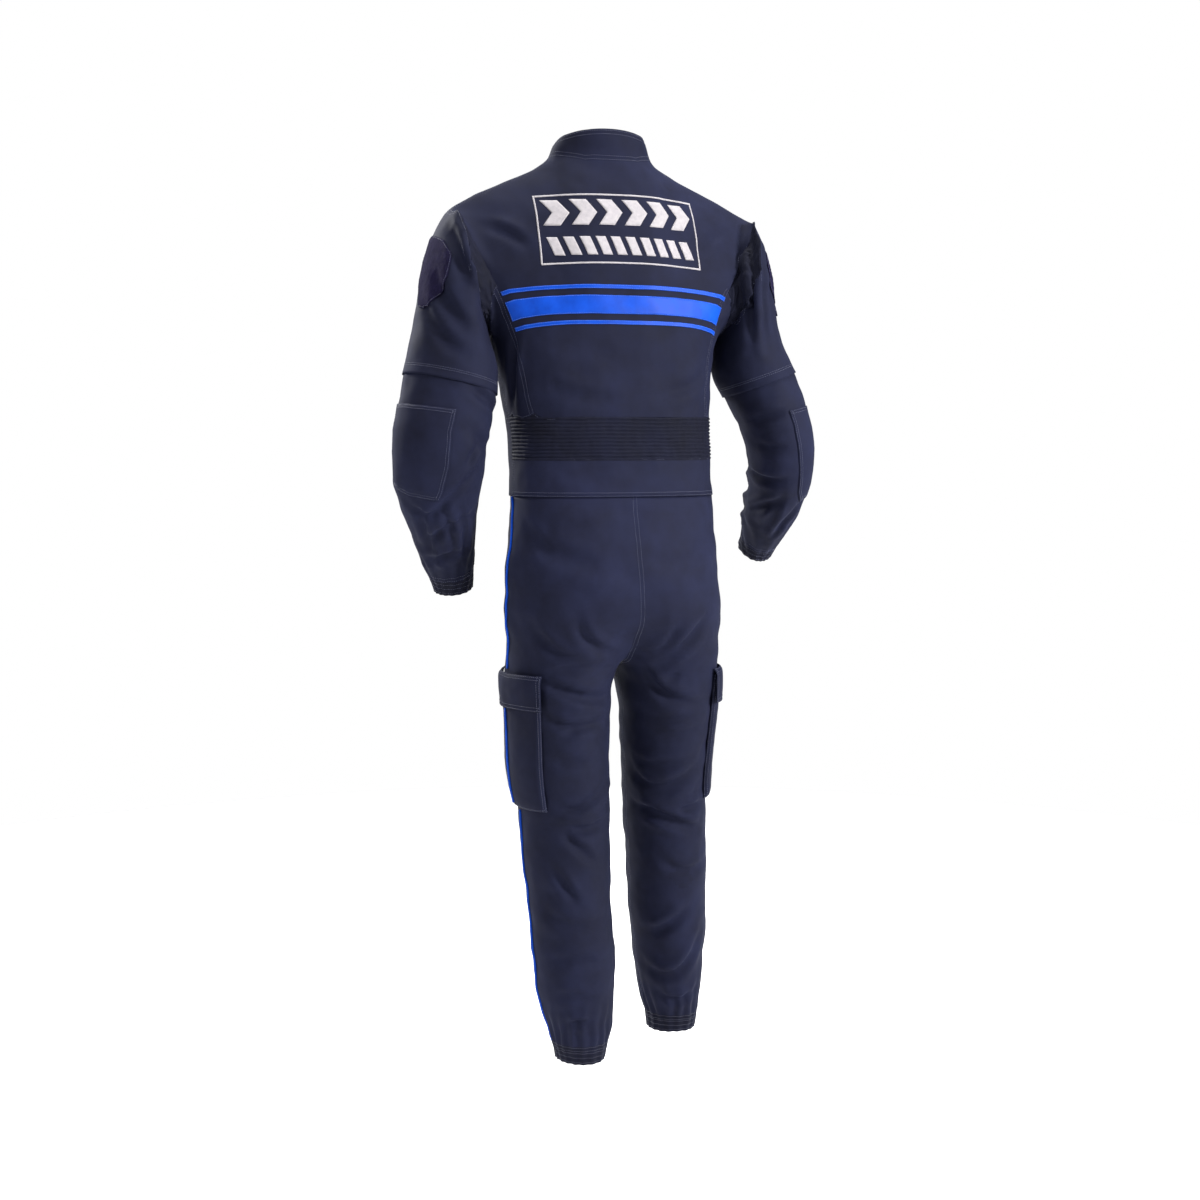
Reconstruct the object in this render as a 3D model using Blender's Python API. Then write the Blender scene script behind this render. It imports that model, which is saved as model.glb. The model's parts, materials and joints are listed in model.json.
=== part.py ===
"""Police duty coverall, standing open and hollow as worn, with no wearer in it.

Frame: metres, +Z up, the garment's front faces -Y, the wearer's left is +X.
The origin is midway between the shoulders, where the wearer's shoulders hold it up.
Heights in the tables are above the soles; every point is lowered by HOLD_HEIGHT.
"""
import math

import bpy
import numpy as np

# ---------------------------------------------------------------- driving sizes
HOLD_HEIGHT = 1.500      # origin above the soles
CLOTH = 0.0016           # wall of the main cloth
ELASTIC = 0.0024         # wall of shirred and ribbed parts
PATCH = 0.0012           # wall of what is sewn on top
SEAM_GAP = 0.00042       # clear space between two sewn edges
INSEAM_GAP = 0.0010      # the same between the trouser panels, which meet at the crotch
STEEP, LEAN = 0.8, 1.5   # where a seam turns in sharply, a wall's thickness leans to its own side
LIFT = 0.0009            # clear space under piping and pocket edges
TAPE_LIFT = 0.0014       # clear space under the back tape
PATCH_LIFT = 0.0031      # clear space under sleeve patches
ROUND = 2.35             # how square the body sections are (2 is an ellipse)
ZIP_HALF = 0.011         # half width of the front zip
ZIP_END_HALF = 0.0006    # the same where the zip strip ends
CHAIN_HALF = 0.0032
CHAIN_THICK = 0.0016
FLAP_GAP = 0.0012        # lower sleeve inside the upper sleeve's hem
TAPE_WIDE = 0.028
TAPE_THIN = 0.006
TAPE_SPACE = 0.010
PIPING_HALF = 0.0024
PIPING_THICK = 0.0020
POCKET_PUFF = 0.009      # how far the cargo bag stands off the leg
MOUTH_PUFF = 0.0045      # the same at the pocket's mouth

# Body sections: height, centre x, centre y, half width, depth to front, depth to back.
BODY = [
    # height   cx      cy     half   front   back
    (0.7600, -0.011, 0.030, 0.1745, 0.106, 0.116),
    (0.8000, -0.009, 0.033, 0.1775, 0.111, 0.128),
    (0.8400, -0.007, 0.035, 0.1765, 0.115, 0.133),
    (0.8800, -0.006, 0.035, 0.1735, 0.118, 0.130),
    (0.9200, -0.007, 0.034, 0.1695, 0.119, 0.122),
    (0.9600, -0.008, 0.032, 0.1665, 0.119, 0.113),
    (0.9980, -0.009, 0.030, 0.1650, 0.118, 0.106),
    (1.0506, -0.008, 0.028, 0.1625, 0.117, 0.101),
    (1.1240, -0.006, 0.023, 0.1640, 0.121, 0.103),
    (1.1800, -0.003, 0.016, 0.1725, 0.127, 0.108),
    (1.2350, -0.001, 0.009, 0.1830, 0.130, 0.112),
]
WAIST, BAND_TOP, SHIRR_TOP, CHEST = 0.9980, 1.0506, 1.1240, 1.2350

# Neck and shoulders: side neck point, back and front neck, shoulder seam.
NECK_HALF, NECK_BACK_Y, NECK_FRONT_Y = 0.0855, 0.055, -0.092
NECK_SIDE_Z, NECK_BACK_Z, NECK_FRONT_Z = 1.527, 1.520, 1.452
COLLAR_HALF, COLLAR_BACK_Y, COLLAR_FRONT_Y = 0.0745, 0.054, -0.0985
COLLAR_SIDE_Z, COLLAR_BACK_Z, COLLAR_FRONT_Z = 1.553, 1.567, 1.494
SHOULDER = [(0.0855, 1.5270), (0.1400, 1.4985), (0.1950, 1.4760), (0.2486, 1.4485)]
ARM_BOTTOM = (0.1880, 0.010, 1.262)
ARMHOLE_BACK, ARMHOLE_FRONT, ARMHOLE_SCOOP = 0.088, 0.072, 0.014

# Angles of the body's columns from the side seam (0) to the centre (90).
COLUMNS = [0, 5, 10, 16, 23, 31, 40, 49, 57, 65, 73.5, 82, 90]
N_ARM, N_SHOULDER, N_NECK = 6, 3, 3
YOKE_ROWS = 5

# Sleeve sections: height, x, y, radius across, radius front to back, for each arm.
SLEEVE_LEFT = [
    (1.2000, 0.2500, 0.024, 0.0745, 0.0760),
    (1.1700, 0.2545, 0.028, 0.0765, 0.0760),
    (1.1360, 0.2620, 0.031, 0.0780, 0.0740),
    (1.1000, 0.2705, 0.032, 0.0755, 0.0720),
    (1.0640, 0.2740, 0.027, 0.0750, 0.0710),
    (1.0280, 0.2700, 0.011, 0.0745, 0.0690),
    (0.9940, 0.2640, -0.009, 0.0650, 0.0650),
    (0.9600, 0.2540, -0.027, 0.0565, 0.0590),
    (0.9260, 0.2450, -0.042, 0.0500, 0.0530),
    (0.8940, 0.2370, -0.055, 0.0430, 0.0450),
    (0.8740, 0.2305, -0.061, 0.0360, 0.0370),
    (0.8480, 0.2260, -0.068, 0.0335, 0.0340),
]
SLEEVE_RIGHT = [
    (1.2000, 0.2570, 0.014, 0.0650, 0.0740),
    (1.1740, 0.2690, 0.019, 0.0610, 0.0730),
    (1.1400, 0.2830, 0.028, 0.0590, 0.0720),
    (1.1040, 0.2950, 0.034, 0.0575, 0.0700),
    (1.0680, 0.3030, 0.032, 0.0565, 0.0680),
    (1.0320, 0.3130, 0.012, 0.0530, 0.0650),
    (1.0000, 0.3180, -0.017, 0.0480, 0.0610),
    (0.9720, 0.3210, -0.043, 0.0450, 0.0560),
    (0.9460, 0.3230, -0.066, 0.0410, 0.0490),
    (0.9280, 0.3240, -0.083, 0.0365, 0.0420),
    (0.9170, 0.3245, -0.092, 0.0330, 0.0365),
    (0.8980, 0.3245, -0.108, 0.0320, 0.0335),
]
N_CAP = 4                # rows of the sleeve head between armhole and first section
FLAP_ROW = 1             # section where the upper sleeve's hem flap ends
CUFF_ROW = 10            # section where the sleeve's elastic cuff begins

# Leg sections below the crotch: height, x, y, half width, half depth, for each leg.
LEG_LEFT = [
    (0.7150, 0.0815, 0.024, 0.0875, 0.1020),
    (0.6700, 0.0790, 0.022, 0.0820, 0.0960),
    (0.6250, 0.0780, 0.023, 0.0805, 0.0930),
    (0.5800, 0.0780, 0.024, 0.0790, 0.0900),
    (0.5400, 0.0755, 0.025, 0.0775, 0.0860),
    (0.5000, 0.0705, 0.026, 0.0750, 0.0830),
    (0.4600, 0.0700, 0.028, 0.0735, 0.0800),
    (0.4180, 0.0700, 0.031, 0.0715, 0.0790),
    (0.3740, 0.0685, 0.036, 0.0690, 0.0780),
    (0.3300, 0.0660, 0.040, 0.0675, 0.0760),
    (0.2860, 0.0635, 0.045, 0.0665, 0.0730),
    (0.2420, 0.0620, 0.049, 0.0655, 0.0700),
    (0.2000, 0.0605, 0.052, 0.0625, 0.0665),
    (0.1580, 0.0565, 0.052, 0.0535, 0.0590),
    (0.1280, 0.0550, 0.052, 0.0455, 0.0520),
    (0.0960, 0.0535, 0.051, 0.0410, 0.0480),
]
LEG_RIGHT = [
    (0.7150, 0.1040, 0.021, 0.0840, 0.1020),
    (0.6700, 0.1070, 0.018, 0.0785, 0.0960),
    (0.6250, 0.1065, 0.014, 0.0755, 0.0930),
    (0.5800, 0.1060, 0.010, 0.0720, 0.0900),
    (0.5400, 0.1070, 0.006, 0.0695, 0.0860),
    (0.5000, 0.1105, 0.002, 0.0685, 0.0830),
    (0.4600, 0.1140, -0.004, 0.0680, 0.0800),
    (0.4180, 0.1170, -0.009, 0.0680, 0.0790),
    (0.3740, 0.1210, -0.016, 0.0675, 0.0780),
    (0.3300, 0.1250, -0.023, 0.0665, 0.0760),
    (0.2860, 0.1300, -0.030, 0.0650, 0.0730),
    (0.2420, 0.1340, -0.036, 0.0620, 0.0700),
    (0.2000, 0.1365, -0.040, 0.0580, 0.0660),
    (0.1580, 0.1400, -0.044, 0.0510, 0.0590),
    (0.1280, 0.1430, -0.046, 0.0445, 0.0520),
    (0.0970, 0.1440, -0.047, 0.0405, 0.0480),
]
LEG_ANGLES = [125, 104, 83, 62, 41, 20, 0, -22, -46, -71, -98, -125,
              -152, -180, -199, -217, -235]
HIP_ANGLES = [90, 75, 60, 45, 30, 15, 0, -18, -36, -54, -72, -86]
SIDE_COL, FRONT_COL, INSEAM_COL = 6, 11, 13
HIP_ROWS = [0.9980, 0.9600, 0.9200, 0.8800, 0.8400, 0.8000]
CROTCH_X = -0.011
CROTCH = [(0.112, 0.785), (0.078, 0.752), (0.030, 0.737), (-0.022, 0.738),
          (-0.058, 0.751), (-0.082, 0.779)]      # y and height, back to front
CROTCH_SIDE = 0.762
ANKLE_ROW = 14           # leg section where the elastic ankle begins

# Cargo pockets in leg angles (degrees from the side) and heights above the soles.
POCKET_SIDES = (50.0, -44.0)
FLAP_TOP, FLAP_LOW, MOUTH, BAG_LOW = 0.722, 0.668, 0.712, 0.506

# Main folds of the legs: height, angle at mid, rise per degree, half length in
# degrees, half width in metres, depth in metres (below zero is a trough).
LEG_FOLDS_LEFT = [
    # height angle  rise/deg  reach  width   depth
    (0.725, 96.0, 0.00035, 42.0, 0.017, -0.0055),
    (0.690, 92.0, 0.00025, 40.0, 0.016, 0.0045),
    (0.505, 112.0, -0.00060, 40.0, 0.017, 0.0060),
    (0.475, 105.0, -0.00055, 36.0, 0.017, -0.0050),
    (0.400, 118.0, 0.00090, 40.0, 0.016, 0.0040),
    (0.340, 100.0, 0.00080, 36.0, 0.018, -0.0035),
    (0.225, 100.0, 0.00020, 55.0, 0.016, 0.0035),
    (0.520, -90.0, 0.00050, 42.0, 0.018, 0.0045),
    (0.455, -80.0, -0.00060, 42.0, 0.018, -0.0040),
    (0.235, -80.0, 0.00040, 50.0, 0.017, 0.0035),
]
LEG_FOLDS_RIGHT = [
    (0.725, 92.0, -0.00045, 40.0, 0.017, -0.0050),
    (0.690, 88.0, -0.00045, 40.0, 0.016, 0.0045),
    (0.560, 100.0, -0.00035, 42.0, 0.017, 0.0050),
    (0.525, 96.0, -0.00035, 38.0, 0.016, -0.0045),
    (0.485, 92.0, 0.00055, 42.0, 0.016, 0.0045),
    (0.240, 95.0, -0.00065, 45.0, 0.017, 0.0045),
    (0.530, -90.0, -0.00045, 42.0, 0.018, 0.0045),
    (0.460, -80.0, 0.00050, 42.0, 0.018, -0.0040),
    (0.255, -75.0, -0.00040, 50.0, 0.017, 0.0035),
]
# Main folds of the sleeves: height, angle from the outer side (back is 90),
# rise per degree, half length in degrees, half width, depth.
ARM_FOLDS_LEFT = [
    (1.330, 100.0, -0.00150, 26.0, 0.017, -0.0060),
    (1.255, 95.0, -0.00140, 30.0, 0.017, 0.0045),
    (1.075, 120.0, 0.00060, 48.0, 0.016, 0.0040),
    (1.020, 125.0, 0.00070, 48.0, 0.016, -0.0045),
    (0.955, 85.0, -0.00080, 48.0, 0.015, 0.0035),
    (1.050, -100.0, -0.00060, 50.0, 0.017, -0.0040),
]
ARM_FOLDS_RIGHT = [
    (1.330, 100.0, -0.00150, 26.0, 0.017, -0.0055),
    (1.255, 95.0, -0.00140, 30.0, 0.017, 0.0040),
    (1.085, 115.0, -0.00060, 48.0, 0.016, -0.0045),
    (1.030, 105.0, 0.00060, 48.0, 0.016, 0.0040),
    (0.970, 95.0, 0.00080, 48.0, 0.014, -0.0035),
    (1.040, -100.0, -0.00060, 50.0, 0.017, -0.0040),
]
# Soft folds of the body: height, x, lean (x per height), half height, half width, depth.
BODY_FOLDS = [
    (1.190, 0.110, 0.25, 0.060, 0.022, 0.0040),
    (1.190, -0.105, -0.20, 0.060, 0.022, 0.0040),
    (1.170, 0.010, 0.05, 0.055, 0.026, -0.0030),
    (1.400, 0.185, -0.90, 0.035, 0.018, -0.0040),
    (1.400, -0.185, 0.90, 0.035, 0.018, -0.0040),
]

# Elbow patch and loop patch in sleeve angles and heights.
ELBOW_SIDES, ELBOW_TOP, ELBOW_LOW = (-12.0, 88.0), 1.140, 1.000
LOOP_MID, LOOP_HALF, LOOP_TOP, LOOP_LOW = 20.0, 33.0, 1.392, 1.286

NAVY = (0.0112, 0.0135, 0.0300)
NAVY_DARK = (0.0080, 0.0090, 0.0190)
BLUE = (0.0040, 0.1350, 0.8300)
FUZZ = (0.0140, 0.0120, 0.0300)
METAL = (0.0900, 0.0900, 0.0950)
BLACK = (0.0060, 0.0060, 0.0070)

for old in list(bpy.data.objects):
    bpy.data.objects.remove(old, do_unlink=True)
GARMENT = bpy.data.collections.new("police_uniform")
bpy.context.scene.collection.children.link(GARMENT)


# ---------------------------------------------------------------- small helpers
def spread(table, height):
    """One row of a table at any height, joined straight between its rows."""
    rows = sorted(table)
    keys = [r[0] for r in rows]
    return [float(np.interp(height, keys, [r[k] for r in rows])) for k in range(1, len(rows[0]))]


def bend(p0, t0, p1, t1, t):
    """A point on the curve from p0 to p1 with end directions t0 and t1."""
    a = 2 * t ** 3 - 3 * t ** 2 + 1
    b = t ** 3 - 2 * t ** 2 + t
    c = t ** 3 - t ** 2
    return a * p0 + b * t0 + (1 - a) * p1 + c * t1


def rounded(angle, power):
    c, s = math.cos(math.radians(angle)), math.sin(math.radians(angle))
    k = 2.0 / power
    return math.copysign(abs(c) ** k, c), math.copysign(abs(s) ** k, s)


def hump(x):
    """A soft bump: 1 at 0, 0 beyond 1."""
    x = abs(x)
    return 0.0 if x >= 1 else 0.5 + 0.5 * math.cos(math.pi * x)


def turn_gap(a, b):
    return (a - b + 180.0) % 360.0 - 180.0


class Grid:
    """Rows and columns of points on the cloth's outer face."""

    def __init__(self, rows, cols, closed, flip):
        self.at = np.full((rows, cols, 3), np.nan)
        self.closed, self.flip = closed, flip
        self.rows, self.cols = rows, cols

    def wrap(self, c):
        return c % self.cols if self.closed else c

    def quad(self, r, c):
        """Corners of one cell, wound so the cloth's face looks out."""
        d = self.wrap(c + 1)
        ring = [(r, c), (r, d), (r + 1, d), (r + 1, c)]
        return ring[::-1] if self.flip else ring

    def whole(self, r, c):
        return all(not np.isnan(self.at[k][0]) for k in self.quad(r, c))

    def cells(self):
        last = self.cols if self.closed else self.cols - 1
        return [(r, c) for r in range(self.rows - 1) for c in range(last) if self.whole(r, c)]


def key_of(p):
    return tuple(int(round(v * 2e5)) for v in p)


def share_faces(grids):
    """One facing direction for every point, shared where grids meet at a seam."""
    total = {}
    for grid in grids:
        for cell in grid.cells():
            ring = grid.quad(*cell)
            pts = [grid.at[k] for k in ring]
            up = np.cross(pts[2] - pts[0], pts[3] - pts[1])
            for k in ring:
                key = key_of(grid.at[k])
                total[key] = total.get(key, 0.0) + up
    for grid in grids:
        grid.out = np.full(grid.at.shape, np.nan)
        for r in range(grid.rows):
            for c in range(grid.cols):
                if not np.isnan(grid.at[r, c][0]):
                    v = total.get(key_of(grid.at[r, c]))
                    if v is not None:
                        grid.out[r, c] = v / np.linalg.norm(v)


def make(name, verts, faces, colour, rough=0.8, metal=0.0):
    mesh = bpy.data.meshes.new(name)
    mesh.from_pydata([tuple(float(a) for a in v) for v in verts], [], faces)
    mesh.validate()
    obj = bpy.data.objects.new(name, mesh)
    GARMENT.objects.link(obj)
    mat = bpy.data.materials.new(name)
    mat.use_nodes = True
    shader = mat.node_tree.nodes["Principled BSDF"]
    shader.inputs["Base Color"].default_value = (*colour, 1.0)
    shader.inputs["Roughness"].default_value = rough
    shader.inputs["Metallic"].default_value = metal
    mesh.materials.append(mat)
    return obj


def lowered(points):
    return [np.asarray(p) - np.array([0, 0, HOLD_HEIGHT]) for p in points]


def halves(ring, points):
    """A cell's two triangles, split along its shorter diagonal, so both walls crease alike."""
    a, b, c, d = ring
    if np.linalg.norm(points[a] - points[c]) <= np.linalg.norm(points[b] - points[d]):
        return [(a, b, c), (a, c, d)]
    return [(a, b, d), (b, c, d)]


def shell(name, points, outs, quads, wall, colour, gap=SEAM_GAP / 2, rough=0.85):
    """A wall of cloth behind a set of cells, its free edges drawn in by the gap."""
    edges = {}
    for ring in quads:
        for a, b in zip(ring, ring[1:] + ring[:1]):
            if (b, a) in edges:
                edges.pop((b, a))
            else:
                edges[(a, b)] = ring
    pull = {}
    for (a, b), ring in edges.items():
        along = points[b] - points[a]
        along = along / np.linalg.norm(along)
        mid = sum(points[k] for k in ring) / len(ring)
        inward = mid - points[a]
        inward = inward - along * inward.dot(along)
        inward = inward / np.linalg.norm(inward)
        for k in (a, b):
            pull.setdefault(k, []).append(inward)
    own = {}
    for ring in quads:
        a, b, c, d = (points[k] for k in ring)
        for k in ring:
            own[k] = own.get(k, 0.0) + np.cross(c - a, d - b)
    order = sorted({k for ring in quads for k in ring})
    index = {k: i for i, k in enumerate(order)}
    n = len(order)
    front, back = [], []
    for k in order:
        facing, square = outs[k], own[k] / np.linalg.norm(own[k])
        if facing.dot(square) < STEEP and facing.dot(sum(pull.get(k, [square]))) > 0:
            # a seam that turns in sharply
            facing = facing + LEAN * square
            facing = facing / np.linalg.norm(facing)
        move = np.zeros(3)
        if k in pull:
            ways = pull[k]
            s = sum(ways)
            size = s.dot(s) / len(ways)
            move = s * gap * len(ways) / max(s.dot(s), 0.6) if len(ways) > 1 else s * gap
        front.append(points[k] + move)
        back.append(points[k] + move - facing * wall)
    halved = [half for ring in quads for half in halves(ring, points)]
    faces = [tuple(index[k] for k in half) for half in halved]
    faces += [tuple(index[k] + n for k in half[::-1]) for half in halved]
    for (a, b) in edges:
        i, j = index[a], index[b]
        if key_of(points[a]) < key_of(points[b]):
            faces += [(j, i, i + n), (j, i + n, j + n)]
        else:
            faces += [(j, i, j + n), (i, i + n, j + n)]
    return make(name, lowered(front + back), faces, colour, rough)


def panel(name, grid, keep, wall, colour, gap=SEAM_GAP / 2):
    cells = [cell for cell in grid.cells() if keep(*cell)]
    quads = [grid.quad(*cell) for cell in cells]
    used = {k for ring in quads for k in ring}
    points = {k: grid.at[k] for k in used}
    outs = {k: grid.out[k] for k in used}
    return shell(name, points, outs, quads, wall, colour, gap)


def sample(grid, r, c):
    """Point and facing at any place on a grid, in parts of rows and columns."""
    r = min(max(r, 0.0), grid.rows - 1.0)
    r0 = min(int(math.floor(r)), grid.rows - 2)
    c0 = int(math.floor(c))
    if not grid.closed:
        c0 = min(max(c0, 0), grid.cols - 2)
    fr, fc = r - r0, c - c0
    mix = [(r0, c0, (1 - fr) * (1 - fc)), (r0, c0 + 1, (1 - fr) * fc),
           (r0 + 1, c0, fr * (1 - fc)), (r0 + 1, c0 + 1, fr * fc)]
    p, n = np.zeros(3), np.zeros(3)
    for a, b, w in mix:
        if w > 1e-9:
            p = p + w * grid.at[a, grid.wrap(b)]
            n = n + w * grid.out[a, grid.wrap(b)]
    return p, n / np.linalg.norm(n)


def row_for(grid, c, height):
    """The part-row where a column passes a height."""
    best = None
    for r in range(grid.rows - 1):
        z0, z1 = sample(grid, r, c)[0][2], sample(grid, r + 1, c)[0][2]
        if np.isnan(z0) or np.isnan(z1):
            continue
        if (z0 - height) * (z1 - height) <= 0 and z0 != z1:
            best = r + (height - z0) / (z1 - z0)
            break
    return best


def between(lo, hi, extra=()):
    """Both ends, every whole number between, and any extra stops."""
    stops = [lo, hi] + [float(k) for k in range(math.ceil(min(lo, hi)), math.floor(max(lo, hi)) + 1)]
    stops += [e for e in extra if min(lo, hi) < e < max(lo, hi)]
    stops = sorted(stops, reverse=bool(hi < lo))
    kept = [stops[0]]
    for s in stops[1:]:
        if abs(s - kept[-1]) > 0.06:
            kept.append(s)
    if abs(kept[-1] - hi) > 1e-9:
        kept[-1] = hi
    return kept


def sewn_on(name, grid, places, wall, lift, colour, rough=0.85):
    """A piece lying on a grid: places is rows of (row, column, extra lift)."""
    points, outs = {}, {}
    for i, row in enumerate(places):
        for j, (r, c, more) in enumerate(row):
            p, n = sample(grid, r, c)
            points[(i, j)] = p + n * (lift + wall + more)
            outs[(i, j)] = n
    quads = []
    flip = grid.flip
    for i in range(len(places) - 1):
        for j in range(len(places[0]) - 1):
            ring = [(i, j), (i, j + 1), (i + 1, j + 1), (i + 1, j)]
            quads.append(ring[::-1] if flip else ring)
    return shell(name, points, outs, quads, wall, colour, gap=0.0, rough=rough)


# ---------------------------------------------------------------- body grid
def body_point(height, angle):
    cx, cy, half, front, back = spread(BODY, height)
    x, y = rounded(angle, ROUND)
    return np.array([cx + half * x, cy + (back if y > 0 else front) * y, height])


def armhole(part, front):
    """A point of the armhole: part 0 at the armpit, 1 at the shoulder tip."""
    a = math.pi * (1 - part)
    tip_x, tip_z = SHOULDER[-1]
    depth = ARMHOLE_FRONT if front else ARMHOLE_BACK
    x = ARM_BOTTOM[0] + (tip_x - ARM_BOTTOM[0]) * max(math.cos(a / 2), 0.0) ** 0.7
    x -= (ARMHOLE_SCOOP if front else 0.0) * math.sin(a)
    base = ARM_BOTTOM[1] * (1 - part)
    y = base + (-depth if front else depth) * abs(math.sin(a)) ** 0.9
    mid = (tip_z + ARM_BOTTOM[2]) / 2
    return np.array([x, y, mid + (tip_z - ARM_BOTTOM[2]) / 2 * math.cos(a)])


def neck_point(part, front, half, back_y, front_y, side_z, back_z, front_z):
    """A point of a neck ring: part 0 at the side, 1 at the centre."""
    if front:
        lim = math.acos(ZIP_HALF / half)
        a = lim * part
        s = math.sin(a) / math.sin(lim)
        return np.array([half * math.cos(a), front_y * s, side_z + (front_z - side_z) * s ** 1.6])
    a = math.pi / 2 * part
    return np.array([half * math.cos(a), back_y * math.sin(a),
                     side_z + (back_z - side_z) * math.sin(a)])


def body_top(k, front):
    """Where column k (0 side seam, 12 centre) ends, with its ending direction."""
    way = 1.0 if front else -1.0
    if k < N_ARM:
        part = k / N_ARM
        p = armhole(part, front)
        tail = np.array([0.02 + 0.03 * part, way * 0.10 * part, 0.10 + 0.10 * part])
        return p, tail * max(0.35, part)
    if k <= N_ARM + N_SHOULDER:
        x, z = SHOULDER[N_SHOULDER - (k - N_ARM)]
        return np.array([x, 0.0, z]), np.array([0.0, way * 0.17, 0.035])
    part = (k - N_ARM - N_SHOULDER) / N_NECK
    p = neck_point(part, front, NECK_HALF, NECK_BACK_Y, NECK_FRONT_Y,
                   NECK_SIDE_Z, NECK_BACK_Z, NECK_FRONT_Z)
    lean = 0.17 * (1 - part) + (0.045 if front else 0.110) * part
    return p, np.array([0.0, way * lean, 0.035 + (0.20 if front else 0.16) * part])


BODY_ROWS = [h[0] for h in BODY if h[0] >= WAIST]
N_LOW = len(BODY_ROWS)
SECTOR = len(COLUMNS) - 1
# Columns run from the left side seam round the back, the right side, the front,
# the two narrow zip columns and back to the left side seam.
N_BODY = 4 * SECTOR + 2
body = Grid(N_LOW + YOKE_ROWS, N_BODY, closed=True, flip=False)


def body_column(c):
    """Which way a body column looks: side sign, front or back, step from the side."""
    if c <= SECTOR:
        return 1, False, c
    if c <= 2 * SECTOR:
        return -1, False, 2 * SECTOR - c
    if c <= 3 * SECTOR:
        return -1, True, c - 2 * SECTOR
    if c == 3 * SECTOR + 1:
        return 0, True, SECTOR
    return 1, True, 4 * SECTOR + 2 - c


def body_at(c, r):
    side, front, k = body_column(c)
    if side == 0:
        a, b = body_at(c - 1, r), body_at(c + 1, r)
        return (a + b) / 2 + np.array([0, -0.0006, 0])
    angle = COLUMNS[k] if not front else -COLUMNS[k]

    def low(height):
        cx, cy, half, fr, bk = spread(BODY, height)
        x, y = rounded(angle, ROUND)
        px = half * x
        if front and k == SECTOR:
            px = ZIP_HALF - side * cx
        return np.array([cx + side * px, cy + (bk if y > 0 else fr) * y, height])

    if r < N_LOW:
        return low(BODY_ROWS[r])
    t = (r - N_LOW + 1) / YOKE_ROWS
    start = low(CHEST)
    end, tail = body_top(k, front)
    end, tail = end * np.array([side, 1, 1]), tail * np.array([side, 1, 1])
    rise = max(end[2] - start[2], 0.02)
    slope = (low(CHEST) - low(CHEST - 0.03)) / 0.03
    t0 = slope * rise * 1.0
    if k >= N_ARM:
        t0 = t0 + np.array([0.0, (-0.02 if front else 0.055), 0.0]) * min(1.0, (k - N_ARM + 1) / 3)
    if k < N_ARM:
        tail = tail * min(1.0, rise / 0.12)
    return bend(start, t0, end, tail, t)


for row in range(body.rows):
    for col in range(N_BODY):
        body.at[row, col] = body_at(col, row)


def body_fold(p):
    """How far the body's folds move a point out."""
    total = 0.0
    for height, x, lean, reach, width, depth in BODY_FOLDS:
        along = (p[2] - height) / reach
        across = (p[0] - x - lean * (p[2] - height)) / width
        total += depth * hump(along) * hump(across / 2)
    return total


# ---------------------------------------------------------------- collar and zip strip
COLLAR_ROWS = 2
N_COLLAR = 4 * N_NECK
collar = Grid(COLLAR_ROWS + 1, N_COLLAR + 1, closed=False, flip=True)
for col in range(N_COLLAR + 1):
    # from the left front edge round the back to the right front edge
    if col <= N_NECK:
        side, front, part = 1, True, 1 - col / N_NECK
    elif col <= 2 * N_NECK:
        side, front, part = 1, False, (col - N_NECK) / N_NECK
    elif col <= 3 * N_NECK:
        side, front, part = -1, False, 1 - (col - 2 * N_NECK) / N_NECK
    else:
        side, front, part = -1, True, (col - 3 * N_NECK) / N_NECK
    low_p = neck_point(part, front, NECK_HALF, NECK_BACK_Y, NECK_FRONT_Y,
                       NECK_SIDE_Z, NECK_BACK_Z, NECK_FRONT_Z)
    top_p = neck_point(part, front, COLLAR_HALF, COLLAR_BACK_Y, COLLAR_FRONT_Y,
                       COLLAR_SIDE_Z, COLLAR_BACK_Z, COLLAR_FRONT_Z)
    if front and part == 1:
        top_p[0] = ZIP_HALF
    mirror = np.array([side, 1, 1])
    outward = top_p * [1, 1, 0]
    outward = outward / np.linalg.norm(outward)
    for row in range(COLLAR_ROWS + 1):
        t = row / COLLAR_ROWS
        p = low_p + (top_p - low_p) * t + outward * 0.002 * math.sin(math.pi * t)
        collar.at[row, col] = p * mirror
collar.flip = False
collar.at = collar.at[:, ::1]

# ---------------------------------------------------------------- sleeves
N_ROUND = 2 * N_ARM
ARM_ANGLES = [-30.0 * k for k in range(N_ROUND)]      # outer, front, inner, back


def fold_out(folds, height, angle, scale):
    total = 0.0
    for h, mid, rise, reach, width, depth in folds:
        turn = turn_gap(angle, mid)
        away = (height - h - rise * turn) / (2 * width)
        total += depth * hump(turn / (reach * 1.5)) * hump(away) * scale
    return total


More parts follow.
